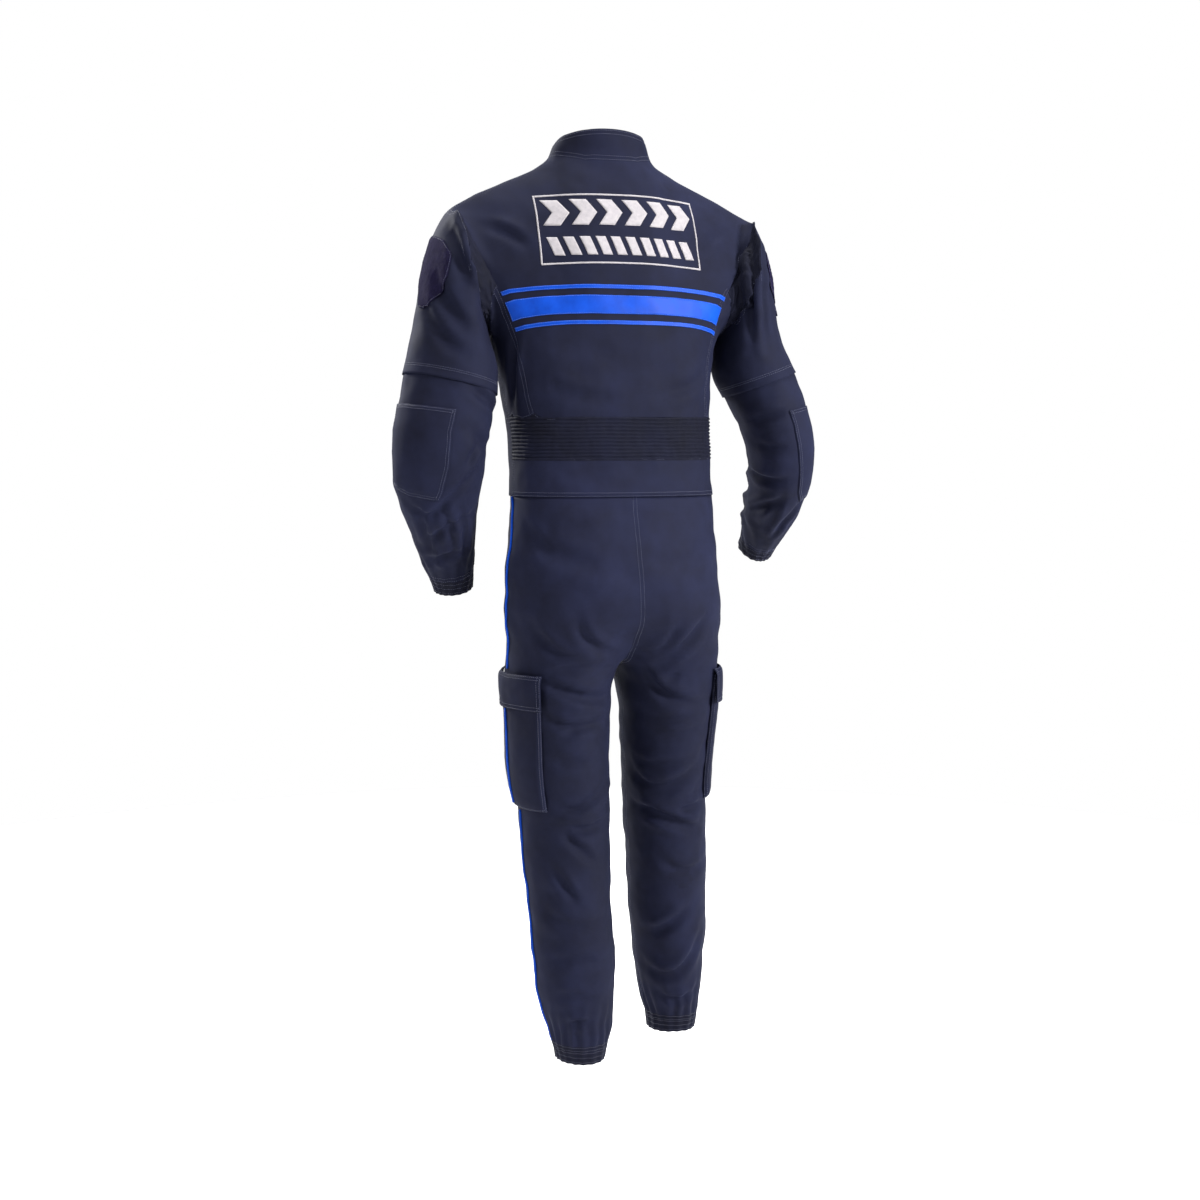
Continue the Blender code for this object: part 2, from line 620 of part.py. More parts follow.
def sleeve_grid(table, folds, side):
    rows = N_CAP + len(table)
    grid = Grid(rows, N_ROUND, closed=True, flip=(side < 0))
    centres = np.array([[x, y, h] for h, x, y, _, _ in table])
    rings = []
    for i, (h, x, y, rx, ry) in enumerate(table):
        lo, hi = max(i - 1, 0), min(i + 1, len(table) - 1)
        axis = centres[hi] - centres[lo]
        axis = axis / np.linalg.norm(axis)
        calm = min(1.0, i / 3.0)
        axis = axis * calm + np.array([0, 0, -1.0]) * (1 - calm)
        axis = axis / np.linalg.norm(axis)
        e_out = np.cross(np.array([0, 1.0, 0]), -axis)
        e_out = e_out / np.linalg.norm(e_out)
        e_back = np.cross(-axis, e_out)
        ring = []
        for angle in ARM_ANGLES:
            c, s = math.cos(math.radians(angle)), math.sin(math.radians(angle))
            away = 1.0
            p = centres[i] + e_out * rx * c * away + e_back * ry * s * away
            if i < 2:
                p[2] += 0.013 * c
            radial = e_out * c + e_back * s
            if i < CUFF_ROW:
                p = p + radial * fold_out(folds, p[2], angle, 1.0)
            ring.append(p)
        rings.append(ring)
    for j, angle in enumerate(ARM_ANGLES):
        # armhole points: 0 tip, then down the front to the armpit, up the back
        if j <= N_ARM:
            start = armhole(1 - j / N_ARM, True)
        else:
            start = armhole((j - N_ARM) / N_ARM, False)
        end = rings[0][j]
        c, s = math.cos(math.radians(angle)), math.sin(math.radians(angle))
        outer = max(0.0, c)
        reach = 0.100 if side > 0 else 0.072
        t0 = np.array([0.010 + reach * outer, 0.050 * s, -0.050 - 0.06 * (1 - outer)])
        t0 = t0 * (1.0 if c > -0.3 else 0.45)
        t1 = rings[1][j] - rings[0][j]
        t1 = t1 / np.linalg.norm(t1) * (0.24 if c > -0.3 else 0.07)
        for r in range(N_CAP):
            t = r / N_CAP
            p = bend(start, t0, end, t1, t)
            if 0 < r:
                push = np.array([c, s, 0.25 * outer])
                p = p + push * fold_out(folds, p[2], angle, math.sin(math.pi * t) ** 0.5)
            grid.at[r, j] = p
        for i in range(len(table)):
            grid.at[N_CAP + i, j] = rings[i][j]
    if side < 0:
        grid.at[:, :, 0] *= -1
    return grid


arm = {1: sleeve_grid(SLEEVE_LEFT, ARM_FOLDS_LEFT, 1),
       -1: sleeve_grid(SLEEVE_RIGHT, ARM_FOLDS_RIGHT, -1)}


# ---------------------------------------------------------------- legs
N_LEG = len(LEG_ANGLES) - 1


def leg_grid(table, folds, side):
    rows = len(HIP_ROWS) + 1 + len(table)
    grid = Grid(rows, N_LEG, closed=True, flip=(side < 0))
    for r, h in enumerate(HIP_ROWS):
        cx, cy, half, front, back = spread(BODY, h)
        for j in range(FRONT_COL + 1):
            x, y = rounded(HIP_ANGLES[j], ROUND)
            p = np.array([side * cx + half * x, cy + (back if y > 0 else front) * y, h])
            if j == 0:
                p[0] = side * CROTCH_X * max(0.0, (0.92 - h) / 0.12) if h < 0.92 else 0.0
                p[1] -= 0.012 * hump((h - 0.80) / 0.12)
            if j == FRONT_COL:
                # the zip closes to a point at the last row above the crotch
                p[0] = ZIP_HALF if r < len(HIP_ROWS) - 1 else side * CROTCH_X / 2 + ZIP_END_HALF
            grid.at[r, j] = p
    crotch_row = len(HIP_ROWS)
    first = table[0]
    for j in range(N_LEG):
        if j == 0 or j >= FRONT_COL:
            k = 0 if j == 0 else N_LEG - j
            y, h = CROTCH[k] if k < len(CROTCH) else CROTCH[-1]
            grid.at[crotch_row, j] = np.array([side * CROTCH_X, y, h])
        else:
            cx, cy, half, front, back = spread(BODY, CROTCH_SIDE)
            x, y = rounded(HIP_ANGLES[j], ROUND)
            part = abs(math.sin(math.radians(HIP_ANGLES[j]))) ** 3
            h = CROTCH_SIDE + 0.020 * part
            grid.at[crotch_row, j] = np.array([side * cx + half * x,
                                               cy + (back if y > 0 else front) * y, h])
    for i, (h, x, y, rx, ry) in enumerate(table):
        for j in range(N_LEG):
            angle = LEG_ANGLES[j]
            c, s = math.cos(math.radians(angle)), math.sin(math.radians(angle))
            inner = max(0.0, -c)
            top = hump((h - table[0][0]) / 0.06)
            p = np.array([x + rx * c, y + ry * s, h - 0.006 * inner * top])
            if i < ANKLE_ROW:
                p = p + np.array([c, s, 0]) * fold_out(folds, h, angle, 1.0)
            grid.at[crotch_row + 1 + i, j] = p
    if side < 0:
        grid.at[:, :, 0] *= -1
    return grid


leg = {1: leg_grid(LEG_LEFT, LEG_FOLDS_LEFT, 1), -1: leg_grid(LEG_RIGHT, LEG_FOLDS_RIGHT, -1)}
CROTCH_ROW = len(HIP_ROWS)

# The zip strip between the two fronts: trouser part, body part and collar part.
strip_rows = [leg[1].at[r, FRONT_COL].copy() for r in range(len(HIP_ROWS) - 1, 0, -1)]
strip_rows += [body.at[r, 3 * SECTOR + 2].copy() for r in range(body.rows)]
strip_rows += [collar.at[r, 0].copy() for r in range(1, COLLAR_ROWS + 1)]
strip = Grid(len(strip_rows), 3, closed=False, flip=False)
for row, left in enumerate(strip_rows):
    right = left * np.array([-1, 1, 1])
    if row == 0:
        right[0] = left[0] - 2 * ZIP_END_HALF
    strip.at[row, 0], strip.at[row, 2] = right, left
    strip.at[row, 1] = (left + right) / 2 + np.array([0, -0.0006, 0])

share_faces([body, collar, arm[1], arm[-1], leg[1], leg[-1], strip])
for row in range(1, body.rows - 1):
    for col in range(N_BODY):
        away = body_fold(body.at[row, col]) if not body_column(col)[1] else 0.0
        body.at[row, col] = body.at[row, col] + body.out[row, col] * away
share_faces([body, collar, arm[1], arm[-1], leg[1], leg[-1], strip])

# ---------------------------------------------------------------- body panels
BAND_ROW = BODY_ROWS.index(BAND_TOP)
SHIRR_ROW = BODY_ROWS.index(SHIRR_TOP)
SEAM_STEP = 5            # the long back seam's column, counted from the side seam
GUSSET_LOW = N_LOW + 1   # row where the gusset begins
LAST_BACK = 2 * SECTOR
ZIP_COL = 3 * SECTOR

panel("back_panel", body, lambda r, c: r >= SHIRR_ROW and SEAM_STEP <= c < LAST_BACK - SEAM_STEP,
      CLOTH, NAVY)
panel("back_side_left", body, lambda r, c: SHIRR_ROW <= r < GUSSET_LOW and c < SEAM_STEP,
      CLOTH, NAVY)
panel("back_side_right", body,
      lambda r, c: SHIRR_ROW <= r < GUSSET_LOW and LAST_BACK - SEAM_STEP <= c < LAST_BACK,
      CLOTH, NAVY)
panel("gusset_left", body, lambda r, c: r >= GUSSET_LOW and c < SEAM_STEP, CLOTH, NAVY)
panel("gusset_right", body,
      lambda r, c: r >= GUSSET_LOW and LAST_BACK - SEAM_STEP <= c < LAST_BACK, CLOTH, NAVY)
panel("waist_elastic_back", body, lambda r, c: BAND_ROW <= r < SHIRR_ROW and c < LAST_BACK,
      ELASTIC, NAVY)
panel("waistband_back", body, lambda r, c: r < BAND_ROW and c < LAST_BACK, CLOTH, NAVY)
panel("front_right", body, lambda r, c: r >= SHIRR_ROW and LAST_BACK <= c < ZIP_COL, CLOTH, NAVY)
panel("front_left", body, lambda r, c: r >= SHIRR_ROW and c >= ZIP_COL + 2, CLOTH, NAVY)
panel("waist_front_right", body, lambda r, c: r < SHIRR_ROW and LAST_BACK <= c < ZIP_COL,
      CLOTH, NAVY)
panel("waist_front_left", body, lambda r, c: r < SHIRR_ROW and c >= ZIP_COL + 2, CLOTH, NAVY)
panel("collar", collar, lambda r, c: True, CLOTH, NAVY)
panel("zip_tape", strip, lambda r, c: True, CLOTH, NAVY_DARK)

# ---------------------------------------------------------------- sleeves
HEM = N_CAP + FLAP_ROW


def inner_copy(grid, first, last, depth):
    """The same rows of a grid set inward, easing back to nothing over the last two."""
    copy = Grid(grid.rows, grid.cols, grid.closed, grid.flip)
    for r in range(first, last + 1):
        k = depth[r - first] if r - first < len(depth) else 0.0
        for c in range(grid.cols):
            copy.at[r, c] = grid.at[r, c] - grid.out[r, c] * k
    return copy


for side, tag in ((1, "left"), (-1, "right")):
    grid = arm[side]
    panel("upper_sleeve_" + tag, grid, lambda r, c: r < HEM, CLOTH, NAVY)
    last = N_CAP + CUFF_ROW
    under = CLOTH + FLAP_GAP
    lower = inner_copy(grid, HEM - 1, grid.rows - 1, [under, under, 0.0009])
    for c in range(lower.cols):
        # the hidden top edge starts only a little way under the hem
        lower.at[HEM - 1, c] = lower.at[HEM, c] + (lower.at[HEM - 1, c] - lower.at[HEM, c]) * 0.6
    share_faces([lower])
    arm[(side, "lower")] = lower
    panel("lower_sleeve_" + tag, lower, lambda r, c: r < last, CLOTH, NAVY)
    panel("cuff_" + tag, lower, lambda r, c: r >= last, ELASTIC, NAVY)

# ---------------------------------------------------------------- trousers
for side, tag in ((1, "left"), (-1, "right")):
    grid = leg[side]
    last = CROTCH_ROW + 1 + ANKLE_ROW
    panel("trouser_back_" + tag, grid,
          lambda r, c: r < last and (c < SIDE_COL or c >= INSEAM_COL), CLOTH, NAVY, INSEAM_GAP / 2)
    panel("trouser_front_" + tag, grid,
          lambda r, c: r < last and SIDE_COL <= c < INSEAM_COL, CLOTH, NAVY, INSEAM_GAP / 2)
    panel("ankle_cuff_" + tag, grid, lambda r, c: r >= last, ELASTIC, NAVY)


# ---------------------------------------------------------------- sewn on the back
def level_strip(name, grid, cols, low, high, droop, wall, lift, colour):
    """A strip between two heights across columns, sagging at its ends."""
    mid = (cols[0] + cols[-1]) / 2
    half = abs(cols[-1] - cols[0]) / 2
    rows = []
    steps = max(1, int(round((high - low) / 0.014)))
    for level in [low + (high - low) * k / steps for k in range(steps + 1)]:
        rows.append([(row_for(grid, c, level - droop * abs((c - mid) / half) ** 3), c, 0.0)
                     for c in cols])
    return sewn_on(name, grid, rows, wall, lift, colour)


tape_cols = between(SEAM_STEP + 0.12, LAST_BACK - SEAM_STEP - 0.12)
TAPE_TOP = 1.3220
level = TAPE_TOP
for name, width in (("tape_top", TAPE_THIN), ("tape_middle", TAPE_WIDE), ("tape_low", TAPE_THIN)):
    level_strip(name, body, tape_cols, level - width, level, 0.012, PATCH, TAPE_LIFT, BLUE)
    level -= width + TAPE_SPACE


# ---------------------------------------------------------------- sleeve patches
def col_for_arm(angle, side):
    return (-angle / 30.0) % N_ROUND


def halved(stops):
    """The same stops with one more midway between each two."""
    more = [(a + b) / 2 for a, b in zip(stops, stops[1:])]
    return sorted(stops + more, reverse=bool(stops[-1] < stops[0]))


def arm_patch(name, grid, a_from, a_to, top, low, shape, wall, lift, colour, fine):
    cols = sorted([-a_from / 30.0, -a_to / 30.0])
    stops = halved(between(cols[0], cols[1]))
    mid = (cols[0] + cols[1]) / 2
    rows = []
    r_top, r_low = row_for(grid, mid, top), row_for(grid, mid, low)
    for r in (halved(between(r_top, r_low)) if fine else between(r_top, r_low)):
        part = (r - r_top) / (r_low - r_top)
        k = shape(part)
        row = []
        for c in stops:
            cc = mid + (c - mid) * k
            row.append((r, cc, 0.0))
        rows.append(row)
    return sewn_on(name, grid, rows, wall, lift, colour)


def shield(part):
    return 1.0 if part < 0.5 else 1.0 - 0.72 * ((part - 0.5) / 0.5) ** 1.7


def elbow(part):
    return 1.0 if part < 0.8 else 1.0 - 0.25 * ((part - 0.8) / 0.2) ** 2


for side, tag in ((1, "left"), (-1, "right")):
    arm_patch("loop_patch_" + tag, arm[side], LOOP_MID + LOOP_HALF, LOOP_MID - LOOP_HALF,
              LOOP_TOP, LOOP_LOW, shield, PATCH, PATCH_LIFT, FUZZ, True)
    arm_patch("elbow_patch_" + tag, arm[(side, "lower")], ELBOW_SIDES[1], ELBOW_SIDES[0],
              ELBOW_TOP, ELBOW_LOW, elbow, PATCH, PATCH_LIFT, NAVY, False)


# ---------------------------------------------------------------- cargo pockets
def leg_col(angle):
    cols = list(range(len(LEG_ANGLES)))
    return float(np.interp(-angle, [-a for a in LEG_ANGLES], cols))


def leg_sheet(name, grid, places, wall, colour, closed_sides):
    """A sheet standing off the leg, its wall made from its own facing."""
    points = {}
    for i, row in enumerate(places):
        for j, (r, c, lift) in enumerate(row):
            p, n = sample(grid, r, c)
            points[(i, j)] = p + n * lift
    quads = []
    for i in range(len(places) - 1):
        for j in range(len(places[0]) - 1):
            ring = [(i, j), (i, j + 1), (i + 1, j + 1), (i + 1, j)]
            quads.append(ring[::-1] if grid.flip else ring)
    outs = {k: np.zeros(3) for k in points}
    for ring in quads:
        pts = [points[k] for k in ring]
        up = np.cross(pts[2] - pts[0], pts[3] - pts[1])
        up = up / np.linalg.norm(up)
        for k in ring:
            outs[k] = outs[k] + up
    outs = {k: v / np.linalg.norm(v) for k, v in outs.items()}
    return shell(name, points, outs, quads, wall, colour, gap=0.0)


for side, tag in ((1, "left"), (-1, "right")):
    grid = leg[side]
    c0, c1 = leg_col(POCKET_SIDES[0]), leg_col(POCKET_SIDES[1])
    r_mouth, r_low = row_for(grid, SIDE_COL, MOUTH), row_for(grid, SIDE_COL, BAG_LOW)
    rows = between(r_mouth, r_low - 0.08)
    cols = between(c0 + 0.08, c1 - 0.08)
    base = LIFT + 0.0006
    places = []
    for i, r in enumerate(rows + [r_low]):
        part = min(1.0, i / max(1, len(rows) - 1))
        puff = MOUTH_PUFF + (POCKET_PUFF - MOUTH_PUFF) * math.sin(math.pi / 2 * min(1.0, part * 1.6))
        last_row = i == len(rows)
        row = [(r, c0, base)]
        row += [(r, c, base if last_row else puff) for c in cols]
        row += [(r, c1, base)]
        places.append(row)
    leg_sheet("pocket_" + tag, grid, places, CLOTH, NAVY, True)
    r_top, r_end = row_for(grid, SIDE_COL, FLAP_TOP), row_for(grid, SIDE_COL, FLAP_LOW)
    cols = between(c0 - 0.14, c1 + 0.14)
    over = MOUTH_PUFF + CLOTH + 0.0012
    rows = between(r_top, r_end, extra=(r_top + 0.12, (r_top + r_end) / 2))
    places = []
    for r in rows:
        part = (r - r_top) / (r_end - r_top)
        lift = base + CLOTH + (over - base) * min(1.0, part / 0.10) + 0.0035 * part
        places.append([(r, c, lift) for c in cols])
    leg_sheet("pocket_flap_" + tag, grid, places, CLOTH, NAVY, False)


# ---------------------------------------------------------------- piping
def piping(name, grid, r_from, r_to, lift_at):
    width = PIPING_HALF / 0.030
    rows = between(r_from, r_to)
    places = []
    for r in rows:
        lift = lift_at(r)
        places.append([(r, SIDE_COL - width, lift), (r, SIDE_COL, lift + 0.0004),
                       (r, SIDE_COL + width, lift)])
    return sewn_on(name, grid, places, PIPING_THICK, LIFT, BLUE, rough=0.5)


for side, tag in ((1, "left"), (-1, "right")):
    grid = leg[side]
    ankle = CROTCH_ROW + 1 + ANKLE_ROW
    r_top, r_low = row_for(grid, SIDE_COL, FLAP_TOP), row_for(grid, SIDE_COL, BAG_LOW)
    r_flap = row_for(grid, SIDE_COL, FLAP_LOW)
    piping("piping_hip_" + tag, grid, 0.02, r_top - 0.05, lambda r: 0.0)
    piping("piping_pocket_" + tag, grid, r_flap + 0.06, r_low - 0.16, lambda r: POCKET_PUFF + 0.0003)
    piping("piping_leg_" + tag, grid, r_low + 0.07, ankle - 0.02, lambda r: 0.0)

# ---------------------------------------------------------------- front zip
SLIDER_LOW, SLIDER_TOP = 1.4700, 1.4820
chain_top = row_for(strip, 1, SLIDER_LOW - 0.0006)
half_col = CHAIN_HALF / ZIP_HALF
rows = between(1.0, chain_top)
sewn_on("zip_chain", strip, [[(r, 1 - half_col, 0.0), (r, 1 + half_col, 0.0)] for r in rows],
        CHAIN_THICK, 0.0004, BLACK, rough=0.4)


def box(lo, hi):
    (x0, y0, z0), (x1, y1, z1) = lo, hi
    v = [(x, y, z) for z in (z0, z1) for y in (y0, y1) for x in (x0, x1)]
    f = [(0, 2, 3, 1), (4, 5, 7, 6), (0, 1, 5, 4), (2, 6, 7, 3), (0, 4, 6, 2), (1, 3, 7, 5)]
    return v, f


def bar_x(centre, radius, x0, x1, sides):
    """A round bar along X."""
    _, cy, cz = centre
    v, f = [], []
    for x in (x0, x1):
        v += [(x, cy + radius * math.cos(2 * math.pi * k / sides),
               cz + radius * math.sin(2 * math.pi * k / sides)) for k in range(sides)]
    f = [(k, (k + 1) % sides, sides + (k + 1) % sides, sides + k) for k in range(sides)]
    f += [tuple(range(sides))[::-1], tuple(range(sides, 2 * sides))]
    return v, f


FACE_Y = float(sample(strip, row_for(strip, 1, (SLIDER_LOW + SLIDER_TOP) / 2), 1)[0][1])
SLIDER_HALF, SLIDER_DEEP = 0.0048, 0.0036
LUG_OUT, LUG_THICK, LUG_IN = 0.0052, 0.0009, 0.0021
PIN_R, EYE_HOLE, EYE_R = 0.0007, 0.00105, 0.0019
PULL_HALF, PULL_LONG, PULL_THICK = 0.0030, 0.0240, 0.0012
AXIS_Z = 1.4775
slider_back = FACE_Y - 0.0010
slider_front = slider_back - SLIDER_DEEP
axis = (0.0, slider_front - 0.0030, AXIS_Z)


def union_of(name, parts, colour, rough, metal):
    """Solid blocks joined into one body."""
    objs = []
    for i, (v, f) in enumerate(parts):
        objs.append(make(name if i == 0 else name + "_part", lowered(v), f, colour, rough, metal))
    first = objs[0]
    for other in objs[1:]:
        mod = first.modifiers.new("join", "BOOLEAN")
        mod.operation, mod.solver, mod.object = "UNION", "EXACT", other
        bpy.context.view_layer.update()
        deps = bpy.context.evaluated_depsgraph_get()
        mesh = bpy.data.meshes.new_from_object(first.evaluated_get(deps))
        first.modifiers.clear()
        first.data = mesh
    for other in objs[1:]:
        bpy.data.objects.remove(other, do_unlink=True)
    return first


lug_tip = axis[1] - 0.0013
union_of("zip_slider", [
    box((-SLIDER_HALF, slider_front, SLIDER_LOW), (SLIDER_HALF, slider_back, SLIDER_TOP)),
    box((LUG_IN, lug_tip, AXIS_Z - 0.0016), (LUG_IN + LUG_THICK, slider_front + 0.0005,
                                              AXIS_Z + 0.0016)),
    box((-LUG_IN - LUG_THICK, lug_tip, AXIS_Z - 0.0016), (-LUG_IN, slider_front + 0.0005,
                                                           AXIS_Z + 0.0016)),
    bar_x(axis, PIN_R, -LUG_IN - 0.0004, LUG_IN + 0.0004, 12),
], METAL, 0.35, 1.0)


def eye_pull(name):
    """A tab hanging from a round eye about the slider's pin."""
    sides = 24
    x0, x1 = -LUG_IN + 0.0005, LUG_IN - 0.0005
    v, f = [], []
    for x in (x0, x1):
        for radius in (EYE_R, EYE_HOLE):
            v += [(x, axis[1] + radius * math.sin(2 * math.pi * k / sides),
                   axis[2] + radius * math.cos(2 * math.pi * k / sides)) for k in range(sides)]
    a, b, c, d = 0, sides, 2 * sides, 3 * sides
    for k in range(sides):
        m = (k + 1) % sides
        f += [(a + m, a + k, c + k, c + m), (b + k, b + m, d + m, d + k),
              (a + k, a + m, b + m, b + k), (c + m, c + k, d + k, d + m)]
    eye = (v, [tuple(reversed(q)) for q in f])
    top = axis[2] - EYE_R + 0.0004
    neck = box((x0, axis[1] - PULL_THICK / 2, top - 0.0030), (x1, axis[1] + PULL_THICK / 2, top))
    tab = box((-PULL_HALF, axis[1] - PULL_THICK / 2, axis[2] - PULL_LONG),
              (PULL_HALF, axis[1] + PULL_THICK / 2, top - 0.0025))
    return union_of(name, [eye, neck, tab], METAL, 0.35, 1.0)


eye_pull("zip_pull")
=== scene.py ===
"""Police duty coverall in navy twill: the shown cloth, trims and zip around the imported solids."""
import json
import math
import bmesh
import bpy
import numpy as np
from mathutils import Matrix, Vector, noise
from mathutils.bvhtree import BVHTree


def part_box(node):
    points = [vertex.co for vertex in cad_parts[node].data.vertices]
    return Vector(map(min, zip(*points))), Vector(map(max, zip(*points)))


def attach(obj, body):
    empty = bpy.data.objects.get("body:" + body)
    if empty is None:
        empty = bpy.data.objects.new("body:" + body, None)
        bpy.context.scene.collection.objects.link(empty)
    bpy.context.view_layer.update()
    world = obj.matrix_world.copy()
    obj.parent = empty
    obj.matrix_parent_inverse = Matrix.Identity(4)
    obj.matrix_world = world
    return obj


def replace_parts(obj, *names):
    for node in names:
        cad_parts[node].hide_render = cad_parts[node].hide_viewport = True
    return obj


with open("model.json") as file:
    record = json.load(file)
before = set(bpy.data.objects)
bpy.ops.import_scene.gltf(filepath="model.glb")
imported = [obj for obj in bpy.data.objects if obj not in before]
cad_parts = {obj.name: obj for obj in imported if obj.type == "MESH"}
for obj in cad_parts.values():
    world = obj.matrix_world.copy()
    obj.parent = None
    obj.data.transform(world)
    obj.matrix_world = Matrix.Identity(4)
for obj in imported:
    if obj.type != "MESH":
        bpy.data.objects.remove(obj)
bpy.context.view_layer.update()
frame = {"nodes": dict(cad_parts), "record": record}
nodes = frame["nodes"]

# ---- Camera --------------------------------------------------------------------
# The wearer's back, a little from the wearer's left, seen with a normal lens from three
# metres away and 1.1 m above the floor.
CAMERA_TURN, CAMERA_RISE, CAMERA_FAR = 160.0, 5.22, 3.0
CAMERA_AIM = Vector((0.0, 0.0, -0.672))
turn, rise = math.radians(CAMERA_TURN), math.radians(CAMERA_RISE)
away = Vector((math.sin(turn) * math.cos(rise), -math.cos(turn) * math.cos(rise), math.sin(rise)))
camera = bpy.data.objects.new("camera", bpy.data.cameras.new("camera"))
bpy.context.scene.collection.objects.link(camera)
camera.location = CAMERA_AIM + away * CAMERA_FAR
camera.rotation_euler = (-away).to_track_quat("-Z", "Y").to_euler()
camera.data.lens, camera.data.sensor_width = 55.8, 36.0
bpy.context.scene.camera = camera

# ---- Light and floor --------------------------------------------------------------
# A pale studio. The walls look white but light the cloth at under half of that, to keep
# its contrast. A key lamp stands behind the wearer's right, a weaker one behind the left,
# one stands in front, and a wide one overhead whitens the floor.
world = bpy.data.worlds.new("studio")
world.use_nodes = True
SURROUND, BACKDROP = 0.42, 1.0    # what the walls give as light, and how pale they look
walls = world.node_tree.nodes["Background"]
rays = world.node_tree.nodes.new("ShaderNodeLightPath")
level = world.node_tree.nodes.new("ShaderNodeMapRange")
level.inputs["To Min"].default_value, level.inputs["To Max"].default_value = SURROUND, BACKDROP
world.node_tree.links.new(rays.outputs["Is Camera Ray"], level.inputs["Value"])
world.node_tree.links.new(level.outputs["Result"], walls.inputs["Strength"])
walls.inputs["Color"].default_value = (1, 1, 1, 1)
bpy.context.scene.world = world
bpy.context.scene.view_settings.view_transform = "Standard"


def area_light(name, place, aim, size, power, spread=180):
    data = bpy.data.lights.new(name, "AREA")
    data.shape, data.size, data.energy = "DISK", size, power
    data.spread = math.radians(spread)
    lamp = bpy.data.objects.new(name, data)
    bpy.context.scene.collection.objects.link(lamp)
    lamp.location = place
    lamp.rotation_euler = (Vector(aim) - Vector(place)).to_track_quat("-Z", "Y").to_euler()


area_light("key", (-2.5, 2.6, 0.35), (0, 0, -0.40), 0.9, 62, 80)
area_light("fill", (3.4, 1.3, 0.9), (0, 0, -0.4), 1.2, 16, 90)
area_light("front", (1.8, -3.0, 1.2), (0, 0, -0.5), 1.2, 60, 100)
area_light("floor", (0, 0, 4.2), (0, 0, -1.5), 4.0, 440)

SOLES, FLOOR_RADIUS = -1.5, 2.7
floor_mesh = bpy.data.meshes.new("floor")
bm = bmesh.new()
bmesh.ops.create_circle(bm, cap_ends=True, segments=96, radius=FLOOR_RADIUS)
bmesh.ops.translate(bm, verts=bm.verts, vec=(0, 0, SOLES))
bm.to_mesh(floor_mesh)
bm.free()
floor = bpy.data.objects.new("floor", floor_mesh)
bpy.context.scene.collection.objects.link(floor)


def linear(code):
    """An sRGB hex colour as linear values."""
    parts = [int(code[i:i + 2], 16) / 255 for i in (1, 3, 5)]
    return tuple(v / 12.92 if v <= 0.04045 else ((v + 0.055) / 1.055) ** 2.4 for v in parts) + (1.0,)


def add(tree, kind, settings=None, links=None):
    """One shader node, with its settings and what is linked into it."""
    node = tree.nodes.new(kind)
    for key, value in (settings or {}).items():
        if isinstance(key, int) or key in node.inputs:
            node.inputs[key].default_value = value
        else:
            setattr(node, key, value)
    for key, source in (links or {}).items():
        tree.links.new(source, node.inputs[key])
    return node


def new_material(name):
    material = bpy.data.materials.new(name)
    material.use_nodes = True
    return material, material.node_tree, material.node_tree.nodes["Principled BSDF"]


def mottled(tree, shader, scale, dark, pale, detail=2.0):
    """A base colour that wanders between two shades; returns the noise that it follows."""
    place = add(tree, "ShaderNodeTexCoord")
    blot = add(tree, "ShaderNodeTexNoise", {"Scale": scale, "Detail": detail},
               {"Vector": place.outputs["Object"]})
    shade = add(tree, "ShaderNodeMixRGB", {"Color1": linear(dark), "Color2": linear(pale)},
                {"Fac": blot.outputs["Fac"]})
    tree.links.new(shade.outputs["Color"], shader.inputs["Base Color"])
    return blot


# Matt painted board: no gloss, a trace of mottling.
floor_paint, tree, shader = new_material("matt_white_board")
mottled(tree, shader, 0.8, "#f2f2f2", "#fafafa")
shader.inputs["Roughness"].default_value = 0.9
floor_mesh.materials.append(floor_paint)

# ---- Cloth finishes ---------------------------------------------------------------
# Navy polycotton twill: dull, with a faint bloom at grazing angles and slightly paler
# where it is rubbed. Its 0.5 mm rib is not drawn: a slub grain of about 1 mm and a broad
# slanting change of shade, nearly a metre from crest to crest, stand for the weave.


